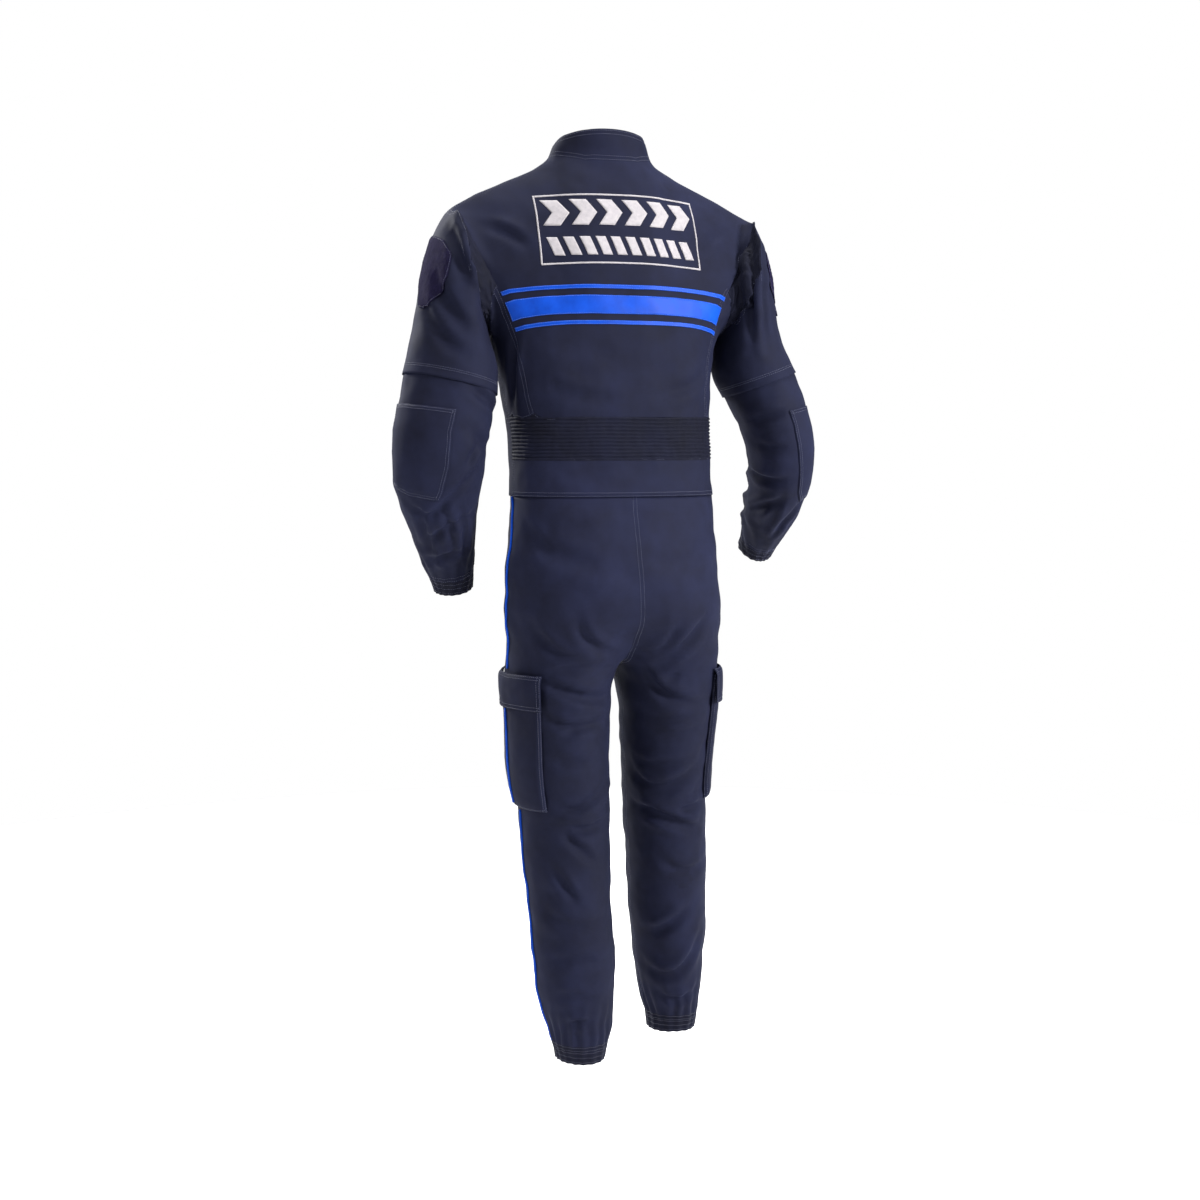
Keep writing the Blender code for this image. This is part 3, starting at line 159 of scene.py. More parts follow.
def twill(name, dark, pale, wave_m=0.9, bump=0.25, rough=0.78, sheen=0.025, mottle_mm=55):
    """Woven cloth on a UV map in metres, with a broad wave of shade across it."""
    material, tree, shader = new_material(name)
    uv = add(tree, "ShaderNodeUVMap", {"uv_map": "cloth"})
    place = add(tree, "ShaderNodeTexCoord")
    wave = add(tree, "ShaderNodeTexWave",
              {"bands_direction": "DIAGONAL", "Scale": 2 * math.pi / (10 * wave_m),
               "Distortion": 1.2, "Detail": 1.0, "Detail Scale": 2.0},
              {"Vector": uv.outputs["UV"]})
    slub = add(tree, "ShaderNodeTexNoise", {"Scale": 900.0, "Detail": 2.0}, {"Vector": uv.outputs["UV"]})
    blot = add(tree, "ShaderNodeTexNoise", {"Scale": 1000 / mottle_mm, "Detail": 5.0, "Roughness": 0.6},
               {"Vector": place.outputs["Object"]})
    spread = add(tree, "ShaderNodeMapRange", {"From Min": 0.3, "From Max": 0.75},
                 {"Value": blot.outputs["Fac"]})
    colour = add(tree, "ShaderNodeMixRGB", {"Color1": linear(dark), "Color2": linear(pale)},
                 {"Fac": spread.outputs["Result"]})
    thread = add(tree, "ShaderNodeMixRGB", {"blend_type": "MULTIPLY", "Fac": 0.22},
                 {"Color1": colour.outputs["Color"], "Color2": wave.outputs["Color"]})
    height = add(tree, "ShaderNodeMath", {"operation": "MULTIPLY_ADD", 1: 0.6},
                 {0: slub.outputs["Fac"], 2: wave.outputs["Fac"]})
    relief = add(tree, "ShaderNodeBump", {"Strength": bump, "Distance": 0.00025},
                 {"Height": height.outputs["Value"]})
    dull = add(tree, "ShaderNodeMapRange", {"To Min": rough - 0.06, "To Max": rough + 0.08},
               {"Value": blot.outputs["Fac"]})
    tree.links.new(thread.outputs["Color"], shader.inputs["Base Color"])
    tree.links.new(dull.outputs["Result"], shader.inputs["Roughness"])
    tree.links.new(relief.outputs["Normal"], shader.inputs["Normal"])
    shader.inputs["Specular IOR Level"].default_value = 0.10
    shader.inputs["Sheen Weight"].default_value = sheen
    shader.inputs["Sheen Roughness"].default_value = 0.5
    shader.inputs["Sheen Tint"].default_value = linear("#6d78c0")
    return material


navy_twill = twill("navy_polycotton_twill", "#0e1021", "#16192e")
navy_shirred = twill("navy_twill_shirred_on_elastic", "#090a16", "#0f1122", wave_m=0.8, bump=0.35)
zip_weave = twill("black_woven_zip_tape", "#08080c", "#101117", wave_m=1.2, bump=0.4, rough=0.7)
blue_satin = twill("royal_blue_satin_tape", "#05389a", "#0643b2", wave_m=1.1, bump=0.3, rough=0.52,
                   sheen=0.02, mottle_mm=18)
blue_satin.node_tree.nodes["Principled BSDF"].inputs["Sheen Tint"].default_value = linear("#7fb0ff")

# ---- The skin ---------------------------------------------------------------------
# The garment's outer face, taken from the panels' solids, joined at the seams while
# it is smoothed and creased, then cut apart again into the sewn pieces.
CLOTH_WALL, ELASTIC_WALL = 0.0016, 0.0024
SEAM_REACH = 0.0018       # panels stand at most this far apart at a seam
SMOOTHING = 3
BOTH = ("left", "right")
PATCH_WALL = 0.0012
SLEEVE_MID_X, LEG_MID_X, TRUNK_MID_Y, NECK_BASE = 0.265, 0.09, 0.02, -0.14
ELASTICS = {"waist_elastic_back"} | {f"{k}_{s}" for k in ("cuff", "ankle_cuff") for s in BOTH}
BODY_PIECES = (["back_panel", "waist_elastic_back", "waistband_back", "collar", "zip_tape"]
               + [f"{k}_{s}" for s in BOTH for k in ("back_side", "gusset", "front", "waist_front",
                                                    "upper_sleeve", "trouser_back",
                                                    "trouser_front", "ankle_cuff")])
SLEEVE_PIECES = {s: [f"lower_sleeve_{s}", f"cuff_{s}"] for s in BOTH}


def outer_wall(node):
    """The outward wall of a panel's solid: its rim and its inner wall are taken away."""
    wall = ELASTIC_WALL if node in ELASTICS else CLOTH_WALL
    if "patch" in node or node.startswith("tape"):
        wall = PATCH_WALL
    bm = bmesh.new()
    bm.from_mesh(nodes[node].data)
    bmesh.ops.remove_doubles(bm, verts=bm.verts, dist=1e-6)
    rim = [f for f in bm.faces if any(abs(e.calc_length() - wall) < 3e-6 for e in f.edges)]
    bmesh.ops.delete(bm, geom=rim, context="FACES")
    left = set(bm.faces)
    sides = []
    while left:
        front, island = [left.pop()], []
        while front:
            face = front.pop()
            island.append(face)
            for edge in face.edges:
                for other in edge.link_faces:
                    if other in left:
                        left.remove(other)
                        front.append(other)
        sides.append(island)
    centre = sum((v.co for v in bm.verts), Vector()) / len(bm.verts)

    def outward(island):
        total = 0.0
        for face in island:
            mid = face.calc_center_median()
            total += face.calc_area() * face.normal.dot(mid - heart(node, mid, centre))
        return total

    keep = max(sides, key=outward)
    bmesh.ops.delete(bm, geom=[f for f in bm.faces if f not in set(keep)], context="FACES")
    return bm


def heart(node, place, centre):
    """A point inside the garment, level with a place on its cloth."""
    if "patch" in node:
        return Vector((math.copysign(SLEEVE_MID_X, centre.x), TRUNK_MID_Y, place.z))
    if "trouser" in node or "pocket" in node:
        return Vector((math.copysign(LEG_MID_X, centre.x), TRUNK_MID_Y, place.z))
    if "sleeve" in node or "cuff" in node:
        return Vector((centre.x, centre.y, place.z))
    return Vector((0.0, 0.0, min(place.z, NECK_BASE)))


def skin_of(pieces):
    """The pieces' outer walls as one smoothed mesh; each face's material number is its piece."""
    whole = bmesh.new()
    for k, node in enumerate(pieces):
        part = outer_wall(node)
        for face in part.faces:
            face.material_index = k
        mesh = bpy.data.meshes.new("part")
        part.to_mesh(mesh)
        part.free()
        whole.from_mesh(mesh)
        bpy.data.meshes.remove(mesh)
    bmesh.ops.remove_doubles(whole, verts=whole.verts, dist=SEAM_REACH)
    for edge in whole.edges:
        kinds = {f.material_index for f in edge.link_faces}
        edge.smooth = len(kinds) < 2
    bmesh.ops.join_triangles(whole, faces=whole.faces, angle_face_threshold=1.2,
                             angle_shape_threshold=1.6, cmp_materials=True)
    mesh = bpy.data.meshes.new("skin")
    whole.to_mesh(mesh)
    whole.free()
    obj = bpy.data.objects.new("skin", mesh)
    bpy.context.scene.collection.objects.link(obj)
    smooth = obj.modifiers.new("smooth", "SUBSURF")
    smooth.levels = smooth.render_levels = SMOOTHING
    smooth.boundary_smooth = "PRESERVE_CORNERS"
    graph = bpy.context.evaluated_depsgraph_get()
    fine = bpy.data.meshes.new_from_object(obj.evaluated_get(graph))
    bpy.data.objects.remove(obj)
    bpy.data.meshes.remove(mesh)
    return fine


skins = {"body": skin_of(BODY_PIECES)} | {s: skin_of(SLEEVE_PIECES[s]) for s in BOTH}
members = {"body": BODY_PIECES} | SLEEVE_PIECES

# ---- Creases ----------------------------------------------------------------------
# The cloth's main folds: strains at the armholes, swags under the seat, breaks behind
# and before the knees, rucks above the cuffs. Each row is a fold's start, middle and
# end, its half width and its depth, all in millimetres; a depth below zero is a ridge.
BACK_CREASES = [
    # seat and left leg
    ((90, 148, -687), (63, 138, -726), (11, 112, -745), 9, 3.2),
    ((149, 103, -700), (109, 121, -743), (50, 133, -747), 9, 3.0),
    ((121, 113, -773), (79, 128, -764), (22, 112, -762), 8, 4.2),
    ((129, 106, -784), (71, 119, -809), (20, 90, -810), 9, 5.0),
    ((122, 103, -844), (80, 116, -859), (20, 86, -846), 8, 3.2),
    ((115, 104, -906), (91, 113, -907), (66, 112, -907), 7, 2.6),
    ((103, 100, -999), (64, 109, -996), (10, 69, -960), 9, -4.0),
    ((83, 106, -1019), (56, 107, -1020), (25, 96, -1008), 7, 4.0),
    ((101, 100, -1024), (76, 107, -1048), (44, 103, -1076), 8, 3.4),
    ((112, 93, -1085), (95, 106, -1112), (78, 114, -1139), 8, 2.8),
    ((120, 80, -1150), (80, 113, -1175), (30, 105, -1165), 10, 1.8),
    ((114, 92, -1232), (82, 114, -1226), (42, 115, -1233), 8, 2.4),
    ((110, 90, -1290), (80, 108, -1284), (50, 110, -1297), 8, 1.8),
    ((90, 100, -1333), (76, 109, -1330), (61, 113, -1329), 7, 3.4),
    # right leg
    ((-27, 104, -747), (-58, 128, -741), (-76, 154, -700), 9, 3.2),
    ((-43, 103, -769), (-79, 130, -750), (-124, 135, -704), 9, 3.6),
    ((-67, 107, -790), (-81, 115, -785), (-94, 119, -779), 7, 3.0),
    ((-42, 95, -779), (-74, 107, -817), (-142, 104, -828), 9, 4.2),
    ((-45, 85, -875), (-90, 100, -880), (-135, 90, -868), 9, 1.8),
    ((-42, 40, -947), (-73, 79, -970), (-138, 90, -927), 10, 4.2),
    ((-82, 79, -995), (-105, 87, -985), (-133, 82, -977), 8, -3.6),
    ((-104, 81, -1014), (-124, 82, -1007), (-146, 72, -1001), 7, 3.2),
    ((-50, 37, -1005), (-87, 75, -1020), (-142, 69, -1043), 9, 5.0),
    ((-80, 60, -1090), (-115, 65, -1110), (-160, 45, -1105), 9, 2.2),
    ((-82, 16, -1219), (-105, 38, -1207), (-139, 50, -1174), 9, 3.0),
    ((-83, -9, -1283), (-126, 27, -1291), (-163, 30, -1231), 9, 3.4),
    ((-95, 10, -1335), (-130, 25, -1345), (-160, 10, -1330), 7, 2.6),
    # upper back and upper sleeves
    ((201, 49, -91), (171, 61, -100), (148, 74, -117), 8, 3.0),
    ((-190, 50, -85), (-165, 62, -98), (-140, 74, -120), 8, 2.2),
    ((265, 52, -91), (252, 90, -153), (193, 23, -245), 10, 5.0),
    ((255, 63, -91), (233, 91, -167), (184, 15, -260), 8, -3.0),
    ((310, 60, -150), (290, 92, -200), (240, 90, -255), 10, 3.0),
    ((330, 40, -190), (300, 90, -245), (250, 95, -285), 9, 2.4),
    ((-225, 46, -96), (-220, 83, -178), (-227, 83, -272), 9, 5.0),
    ((-242, 67, -89), (-246, 86, -177), (-255, 83, -264), 8, 3.4),
    ((-275, 50, -105), (-285, 75, -180), (-290, 80, -255), 9, -2.6),
    ((120, 100, -330), (80, 112, -345), (20, 118, -350), 10, 1.6),
    ((-150, 80, -300), (-110, 105, -330), (-50, 115, -345), 10, 1.8),
    ((150, 60, -250), (155, 55, -300), (160, 45, -360), 8, 2.4),
    ((126, 108, -789), (80, 120, -808), (20, 90, -819), 8, 2.6),
    ((71, 121, -783), (46, 119, -775), (22, 111, -767), 7, 2.0),
    ((120, 104, -846), (86, 117, -857), (40, 104, -851), 7, 2.2),
    ((114, 106, -873), (92, 114, -870), (73, 115, -859), 6, 1.8),
    ((114, 104, -912), (88, 113, -917), (51, 108, -911), 7, 2.4),
    ((100, 102, -987), (83, 108, -989), (66, 108, -986), 6, 2.2),
    ((87, 105, -1020), (51, 105, -1022), (9, 75, -1009), 9, 3.2),
    ((-42, 95, -775), (-68, 106, -808), (-120, 112, -833), 7, 1.8),
    ((-45, 74, -846), (-69, 97, -857), (-122, 109, -846), 8, 1.8),
    ((-44, 52, -928), (-69, 84, -933), (-135, 94, -917), 10, 3.0),
    ((-84, 80, -994), (-109, 87, -985), (-138, 79, -979), 7, 2.4),
    ((-53, 43, -1006), (-80, 71, -1017), (-140, 70, -1044), 9, 3.4),
    ((-98, 82, -1012), (-117, 85, -1003), (-143, 75, -999), 6, 2.2),
    ((152, 66, -535), (142, 96, -565), (122, 128, -600), 10, 1.4),
    ((-59, 124, -749), (-90, 136, -728), (-127, 137, -687), 9, 2.6),
    ((-45, 99, -775), (-77, 121, -771), (-123, 123, -745), 8, 2.2),
    ((150, 110, -560), (110, 135, -590), (50, 150, -600), 14, 1.4),
    ((-165, 105, -540), (-120, 130, -585), (-60, 150, -610), 14, 1.6),
]
FRONT_CREASES = [
    ((20, -75, -735), (70, -85, -712), (125, -70, -676), 9, 3.6),
    ((20, -75, -762), (62, -78, -778), (112, -65, -806), 9, 3.0),
    ((-45, -75, -735), (-90, -85, -709), (-140, -65, -684), 9, 3.2),
    ((-50, -70, -765), (-95, -80, -783), (-150, -65, -772), 8, 3.4),
    ((30, -55, -880), (75, -70, -893), (120, -55, -884), 9, 2.0),
    ((30, -50, -985), (75, -58, -1003), (125, -40, -990), 9, 3.6),
    ((40, -45, -1048), (80, -50, -1034), (120, -35, -1052), 8, -2.8),
    ((35, -42, -1082), (72, -48, -1094), (112, -35, -1080), 8, 2.6),
    ((-60, -80, -930), (-100, -90, -941), (-150, -75, -922), 9, 2.2),
    ((-75, -80, -1000), (-115, -88, -1014), (-160, -70, -1000), 9, 3.6),
    ((-80, -80, -1056), (-120, -90, -1044), (-160, -75, -1062), 8, -2.6),
    ((-85, -90, -1102), (-122, -98, -1112), (-160, -85, -1098), 8, 2.6),
    ((35, -30, -1200), (70, -35, -1216), (110, -20, -1205), 8, 2.4),
    ((35, -20, -1322), (60, -28, -1331), (90, -18, -1320), 7, 3.0),
    ((-95, -100, -1214), (-130, -106, -1202), (-170, -90, -1220), 8, 2.6),
    ((-110, -100, -1332), (-140, -106, -1341), (-168, -95, -1330), 7, 3.0),
    ((30, -112, -352), (85, -108, -340), (140, -70, -362), 9, 2.6),
    ((-35, -112, -360), (-90, -105, -344), (-145, -65, -356), 9, 2.4),
    ((40, -112, -410), (90, -100, -402), (140, -70, -412), 7, 2.2),
    ((-40, -112, -420), (-95, -100, -408), (-145, -70, -418), 7, 2.2),
    ((190, -50, -205), (135, -100, -184), (75, -120, -176), 10, 3.0),
    ((-190, -50, -210), (-140, -100, -190), (-85, -120, -187), 10, 2.6),
    ((180, -60, -240), (130, -105, -255), (70, -122, -285), 11, 2.0),
    ((-182, -60, -236), (-130, -105, -262), (-65, -122, -280), 11, 2.2),
    ((205, -30, -190), (245, -55, -155), (285, -45, -118), 9, 3.4),
    ((205, -25, -250), (255, -50, -226), (305, -30, -200), 8, 2.8),
    ((-215, -30, -195), (-250, -55, -158), (-285, -45, -120), 9, 3.2),
    ((-222, -30, -255), (-262, -50, -232), (-300, -35, -206), 8, 2.6),
    ((40, -100, -20), (90, -80, -35), (140, -60, -70), 9, 1.8),
    ((-45, -100, -24), (-95, -80, -40), (-145, -60, -78), 9, 1.8),
]
SLEEVE_CREASES = {
    "left": [
        ((312, 47, -511), (294, 18, -555), (273, -14, -602), 7, 2.6),
        ((281, 64, -510), (257, 35, -555), (243, -2, -605), 7, 2.4),
        ((250, 60, -510), (232, 25, -556), (223, -4, -598), 6, 2.0),
        ((225, 86, -420), (235, 89, -440), (246, 86, -460), 7, 2.6),
        ((293, 43, -536), (268, 68, -505), (228, 73, -460), 8, 3.6),
        ((289, -4, -577), (267, 35, -552), (223, 34, -530), 8, 3.4),
        ((322, 35, -513), (300, 42, -528), (280, 56, -521), 7, 3.0),
        ((285, -20, -606), (262, 5, -600), (228, 10, -585), 7, 2.4),
        ((245, 85, -335), (225, 70, -352), (200, 40, -370), 8, 2.4),
        ((240, 90, -400), (220, 75, -418), (198, 45, -425), 9, 2.4),
        ((205, -10, -440), (245, -45, -452), (300, -40, -440), 8, 4.4),
        ((205, -25, -478), (245, -62, -486), (298, -50, -474), 8, 4.2),
        ((205, -40, -515), (240, -78, -520), (285, -70, -512), 7, 3.4),
        ((210, -10, -370), (250, -42, -385), (300, -35, -372), 9, 2.6),
    ],
    "right": [
        ((-330, 30, -500), (-322, 0, -545), (-312, -30, -590), 7, 2.4),
        ((-300, 50, -500), (-296, 18, -545), (-292, -18, -590), 7, 2.2),
        ((-238, 63, -383), (-257, 89, -378), (-283, 98, -370), 8, 3.4),
        ((-258, 13, -464), (-268, 49, -480), (-299, 77, -480), 8, 3.6),
        ((-277, -36, -532), (-284, 16, -522), (-304, 50, -513), 8, 3.4),
        ((-240, 60, -425), (-262, 85, -430), (-290, 92, -425), 8, 2.4),
        ((-262, -10, -455), (-300, -45, -460), (-350, -30, -450), 8, 4.4),
        ((-270, -30, -492), (-305, -75, -498), (-350, -60, -488), 8, 4.2),
        ((-280, -55, -528), (-315, -100, -534), (-352, -85, -524), 7, 3.2),
        ((-250, 0, -385), (-290, -40, -396), (-335, -20, -388), 9, 2.4),
    ],
}
CREASE_GAIN, DEEPEST = 2.5, 0.0065
ZIP_CLEAR = (0.014, 0.045)    # from the centre front: no creases, full creases
WAIST_CLEAR = (0.002, 0.022)  # the same from the waist seam
# the cloth's own unevenness: how deep, how far apart, where the noise starts, its stretch
RUFFLES = [(0.0022, 0.075, 1.3, (1, 1, 1.5)), (0.0016, 0.042, 3.1, (1, 1, 1.7)),
           (0.0006, 0.019, 7.7, (1.2, 1.2, 1))]
WAIST_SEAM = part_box("waistband_back")[0].z


def vertices(mesh):
    co = np.empty(len(mesh.vertices) * 3, np.float32)
    mesh.vertices.foreach_get("co", co)
    return co.reshape(-1, 3).astype(float)


def facings(mesh):
    out = np.empty(len(mesh.vertices) * 3, np.float32)
    mesh.vertex_normals.foreach_get("vector", out)
    return out.reshape(-1, 3).astype(float)


def settle(mesh, co):
    mesh.vertices.foreach_set("co", co.astype(np.float32).ravel())
    mesh.update()


def tree_of(mesh):
    faces = [tuple(f.vertices) for f in mesh.polygons]
    return BVHTree.FromPolygons([tuple(p) for p in vertices(mesh)], faces)


def unit(rows):
    """Each row of an array, one long."""
    return rows / (np.linalg.norm(rows, axis=1)[:, None] + 1e-12)


def soft_step(value, low, high):
    t = np.clip((value - low) / (high - low), 0, 1)
    return t * t * (3 - 2 * t)


def crease(co, out, surface, start, middle, end, wide_mm, deep_mm):
    """How far a fold moves each point outwards: a trough with a softer ridge on each side."""
    knots = [np.array(surface.find_nearest(Vector([v / 1000 for v in k]))[0])
             for k in (start, middle, end)]
    wide, deep = wide_mm / 1000, deep_mm / 1000
    t = np.linspace(0, 1, 33)[:, None]
    lead = 2 * knots[1] - (knots[0] + knots[2]) / 2
    path = (1 - t) ** 2 * knots[0] + 2 * t * (1 - t) * lead + t ** 2 * knots[2]
    near = np.all((co > path.min(0) - 4 * wide) & (co < path.max(0) + 4 * wide), axis=1)
    here = np.flatnonzero(near)
    moved = np.zeros(len(co))
    if not len(here):
        return moved
    gap = np.linalg.norm(co[here, None, :] - path[None, :, :], axis=2)
    k = gap.argmin(1)
    along = np.gradient(path, axis=0)[k]
    across = unit(np.cross(out[here], along))
    rest = co[here] - path[k]
    s = (rest * across).sum(1) / wide
    lift = np.abs((rest * out[here]).sum(1))
    fade = np.sin(np.pi * np.clip(k / 32, 0.03, 0.97)) ** 0.7
    fade *= np.exp(-(np.clip(gap[np.arange(len(here)), k] / wide - np.abs(s), 0, None)) ** 2)
    fade *= 1 - soft_step(lift, 2 * wide, 3.5 * wide)
    trough = np.exp(-(s ** 2) * (1 + 0.8 * (s > 0)))
    ridges = 0.55 * np.exp(-((s - 1.55) / 0.8) ** 2) + 0.30 * np.exp(-((s + 1.8) / 1.0) ** 2)
    moved[here] = deep * fade * (ridges - trough)
    return moved


def ruffle(co, size, seed, stretch=(1, 1, 1)):
    """Soft noise between -1 and 1, one value for each point."""
    k = np.array(stretch) / size
    return np.array([noise.noise(Vector(p * k) + Vector((seed, 2.3 * seed, 0))) for p in co])


# Gathered edges: where the band is, how far up its rucks run, how many there are.
GATHERS = {
    "body": [("ankle_cuff_left", 0.075, 19, 2.4), ("ankle_cuff_right", 0.075, 18, 2.4)],
    "left": [("cuff_left", 0.070, 15, 2.0)],
    "right": [("cuff_right", 0.055, 14, 2.0)],
}
for key, skin in skins.items():
    co, out = vertices(skin), facings(skin)
    surface = tree_of(skin)
    moved = np.zeros(len(co))
    rows = BACK_CREASES + FRONT_CREASES if key == "body" else SLEEVE_CREASES[key]
    for row in rows:
        moved += CREASE_GAIN * crease(co, out, surface, *row)
    moved = DEEPEST * np.tanh(moved / DEEPEST)
    moved += sum(deep * ruffle(co, *row) for deep, *row in RUFFLES)
    front = (co[:, 1] < 0.0) & (co[:, 2] > -0.72)
    if key == "body":
        moved *= np.where(front, soft_step(np.abs(co[:, 0]), *ZIP_CLEAR), 1.0)
        moved *= soft_step(np.abs(co[:, 2] - WAIST_SEAM), *WAIST_CLEAR)
    for node, reach, count, deep_mm in GATHERS[key]:
        low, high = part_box(node)
        side = np.sign(low.x + high.x)
        mine = co[:, 0] * side > 0
        middle = (low + high) / 2
        angle = np.arctan2(co[:, 1] - middle.y, co[:, 0] - middle.x)
        level = (co[:, 2] - high.z) / reach
        above = np.exp(-np.clip(level, 0, None) ** 2 * 2.2) * (co[:, 2] < high.z + 2 * reach)
        wander = 2.2 * ruffle(co, 0.045, 5.0 + count)
        rucks = np.sin(count * angle + wander + 3.0 * level * (level > 0) * 0.3)
        weaker_on_band = 0.45 + 0.55 * (level > 0)
        moved += np.where(mine, deep_mm / 1000 * rucks * above * weaker_on_band * 0.8, 0)
    settle(skin, co + out * moved[:, None])

surfaces = {key: tree_of(skin) for key, skin in skins.items()}
seams = {}
for key, skin in skins.items():
    bm = bmesh.new()
    bm.from_mesh(skin)
    co, out = vertices(skin), facings(skin)
    links = {}
    for edge in bm.edges:
        if len(edge.link_faces) == 2:
            a, b = (members[key][f.material_index] for f in edge.link_faces)
            if a != b:
                links.setdefault(tuple(sorted((a, b))), []).append([v.index for v in edge.verts])
        elif len(edge.link_faces) == 1:
            a = members[key][edge.link_faces[0].material_index]
            links.setdefault((a, ""), []).append([v.index for v in edge.verts])
    bm.free()
    for pair, edges in links.items():
        nexts = {}
        for a, b in edges:
            nexts.setdefault(a, []).append(b)
            nexts.setdefault(b, []).append(a)
        unused = {frozenset(e) for e in edges}
        ends = sorted(nexts, key=lambda v: (len(nexts[v]) != 1, v))
        for start in ends:
            run = [start]
            while True:
                onward = [w for w in nexts[run[-1]] if frozenset((run[-1], w)) in unused]
                if not onward:
                    break
                unused.discard(frozenset((run[-1], onward[0])))
                run.append(onward[0])
            if len(run) > 3:
                seams.setdefault(pair, []).append((key, co[run], out[run]))

# ---- Panels -----------------------------------------------------------------------
# Each cut piece of twill, felled to its neighbours: a shell just over a millimetre thick
# behind its outer face, on a layout in metres that the weave follows.
SHOWN_WALL = 0.0011


def new_piece(name, mesh, material, body="garment"):
    obj = bpy.data.objects.new(name, mesh)
    bpy.context.scene.collection.objects.link(obj)
    mesh.materials.clear()
    mesh.materials.append(material)
    mesh.polygons.foreach_set("material_index", np.zeros(len(mesh.polygons), np.int32))
    mesh.shade_smooth()
    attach(obj, body)
    return obj


def slot_of(node):
    return next(p["material_slot"] for p in frame["record"]["subparts"] if p["node"] == node)


def walled(piece, thick):
    """Gives an open skin its thickness, inwards."""
    wall = piece.modifiers.new("wall", "SOLIDIFY")
    wall.thickness, wall.offset = thick, -1.0


def cloth_map(mesh):
    """A UV map in metres, round the piece and up its face; returns its length up the face."""
    co = vertices(mesh)
    low, high = co.min(0), co.max(0)
    tube = high[2] - low[2] > 0.03 and high[0] - low[0] < 0.4
    middle = (low + high) / 2 if tube else np.array([0.0, 0.02, 0.0])
    flat = co[:, :2] - middle[:2]
    radius = np.hypot(*flat.T)
    angle = np.arctan2(flat[:, 1], flat[:, 0])
    mean = float(radius.mean())
    v = co[:, 2] + 0.9 * (mean - radius) * (co[:, 2] > -0.15)
    uv = mesh.uv_layers.new(name="cloth")
    loops = np.empty(len(mesh.loops), np.int32)
    mesh.loops.foreach_get("vertex_index", loops)
    turn = angle[loops]
    starts = np.empty(len(mesh.polygons), np.int32)
    mesh.polygons.foreach_get("loop_start", starts)
    sizes = np.empty(len(mesh.polygons), np.int32)
    mesh.polygons.foreach_get("loop_total", sizes)
    first = np.repeat(turn[starts], sizes)
    turn = turn - 2 * np.pi * np.round((turn - first) / (2 * np.pi))
    flat_uv = np.stack([turn * mean, v[loops]], axis=1).astype(np.float32)
    uv.data.foreach_set("uv", flat_uv.ravel())
    return float(np.ptp(v))


def sheet_size(mesh, tall):
    """The cut that one wall of a mesh comes from: its widest level, its length, and its area."""
    co = vertices(mesh)
    area = sum(f.area for f in mesh.polygons)
    start = np.array([f.loop_start for f in mesh.polygons])
    total = np.array([f.loop_total for f in mesh.polygons])
    here = np.empty(len(mesh.loops), np.int32)
    mesh.loops.foreach_get("vertex_index", here)
    onward = np.arange(len(here)) + 1
    onward[start + total - 1] = start
    a, b = co[here], co[here[onward]]
    low, high = co[:, 2].min(), co[:, 2].max()
    widest = 0.0
    for level in np.linspace(low, high, 13)[1:-1] + 1e-6:
        cut = (a[:, 2] - level) * (b[:, 2] - level) < 0
        share = (level - a[cut, 2]) / (b[cut, 2] - a[cut, 2])
        ends = (a[cut] + share[:, None] * (b[cut] - a[cut])).reshape(-1, 2, 3)
        widest = max(widest, float(np.linalg.norm(ends[:, 0] - ends[:, 1], axis=1).sum()))
    tall = max(tall, 0.010)
    width = max(min(widest, 3 * area / tall), 1.02 * area / tall, 0.012)
    return (round(width, 4), round(float(tall), 4)), round(area, 5)


def shirr(mesh, rows, deep, along_z):
    """Fine ribs over elastic: level ones on the waist, upright ones on the gussets."""
    bm = bmesh.new()
    bm.from_mesh(mesh)
    steep = [e for e in bm.edges
             if (abs((e.verts[0].co - e.verts[1].co).normalized().z) > 0.72) == along_z]
    bmesh.ops.subdivide_edges(bm, edges=steep, cuts=7 if along_z else 3, use_grid_fill=True)
    bm.to_mesh(mesh)
    bm.free()
    co, out = vertices(mesh), facings(mesh)
    low, high = co.min(0), co.max(0)
    if along_z:
        # the band's top and bottom wander, so the ribs are counted between them
        angle = np.arctan2(co[:, 1] - 0.03, co[:, 0])
        t = (co[:, 2] - low[2]) / (high[2] - low[2])
        t = t + 0.014 * ruffle(co, 0.060, 1.7) + 0.006 * ruffle(co, 0.012, 9.0)
        pucker = 0.25 * ruffle(co, 0.006, 4.0, (1, 1, 0.4))
    else:
        angle = np.arctan2(co[:, 1], np.abs(co[:, 0]) - 0.12)
        t = (angle - angle.min()) / (angle.max() - angle.min())
        t = t + 0.02 * ruffle(co, 0.020, 2.0)
        pucker = 0.3 * ruffle(co, 0.008, 6.0)
    rib = np.abs(np.sin(np.pi * rows * t)) ** 0.7 - 0.6 + pucker
    rim = np.minimum(t, 1 - t) * rows
    settle(mesh, co + out * (deep * rib * np.clip(rim * 2, 0, 1))[:, None])


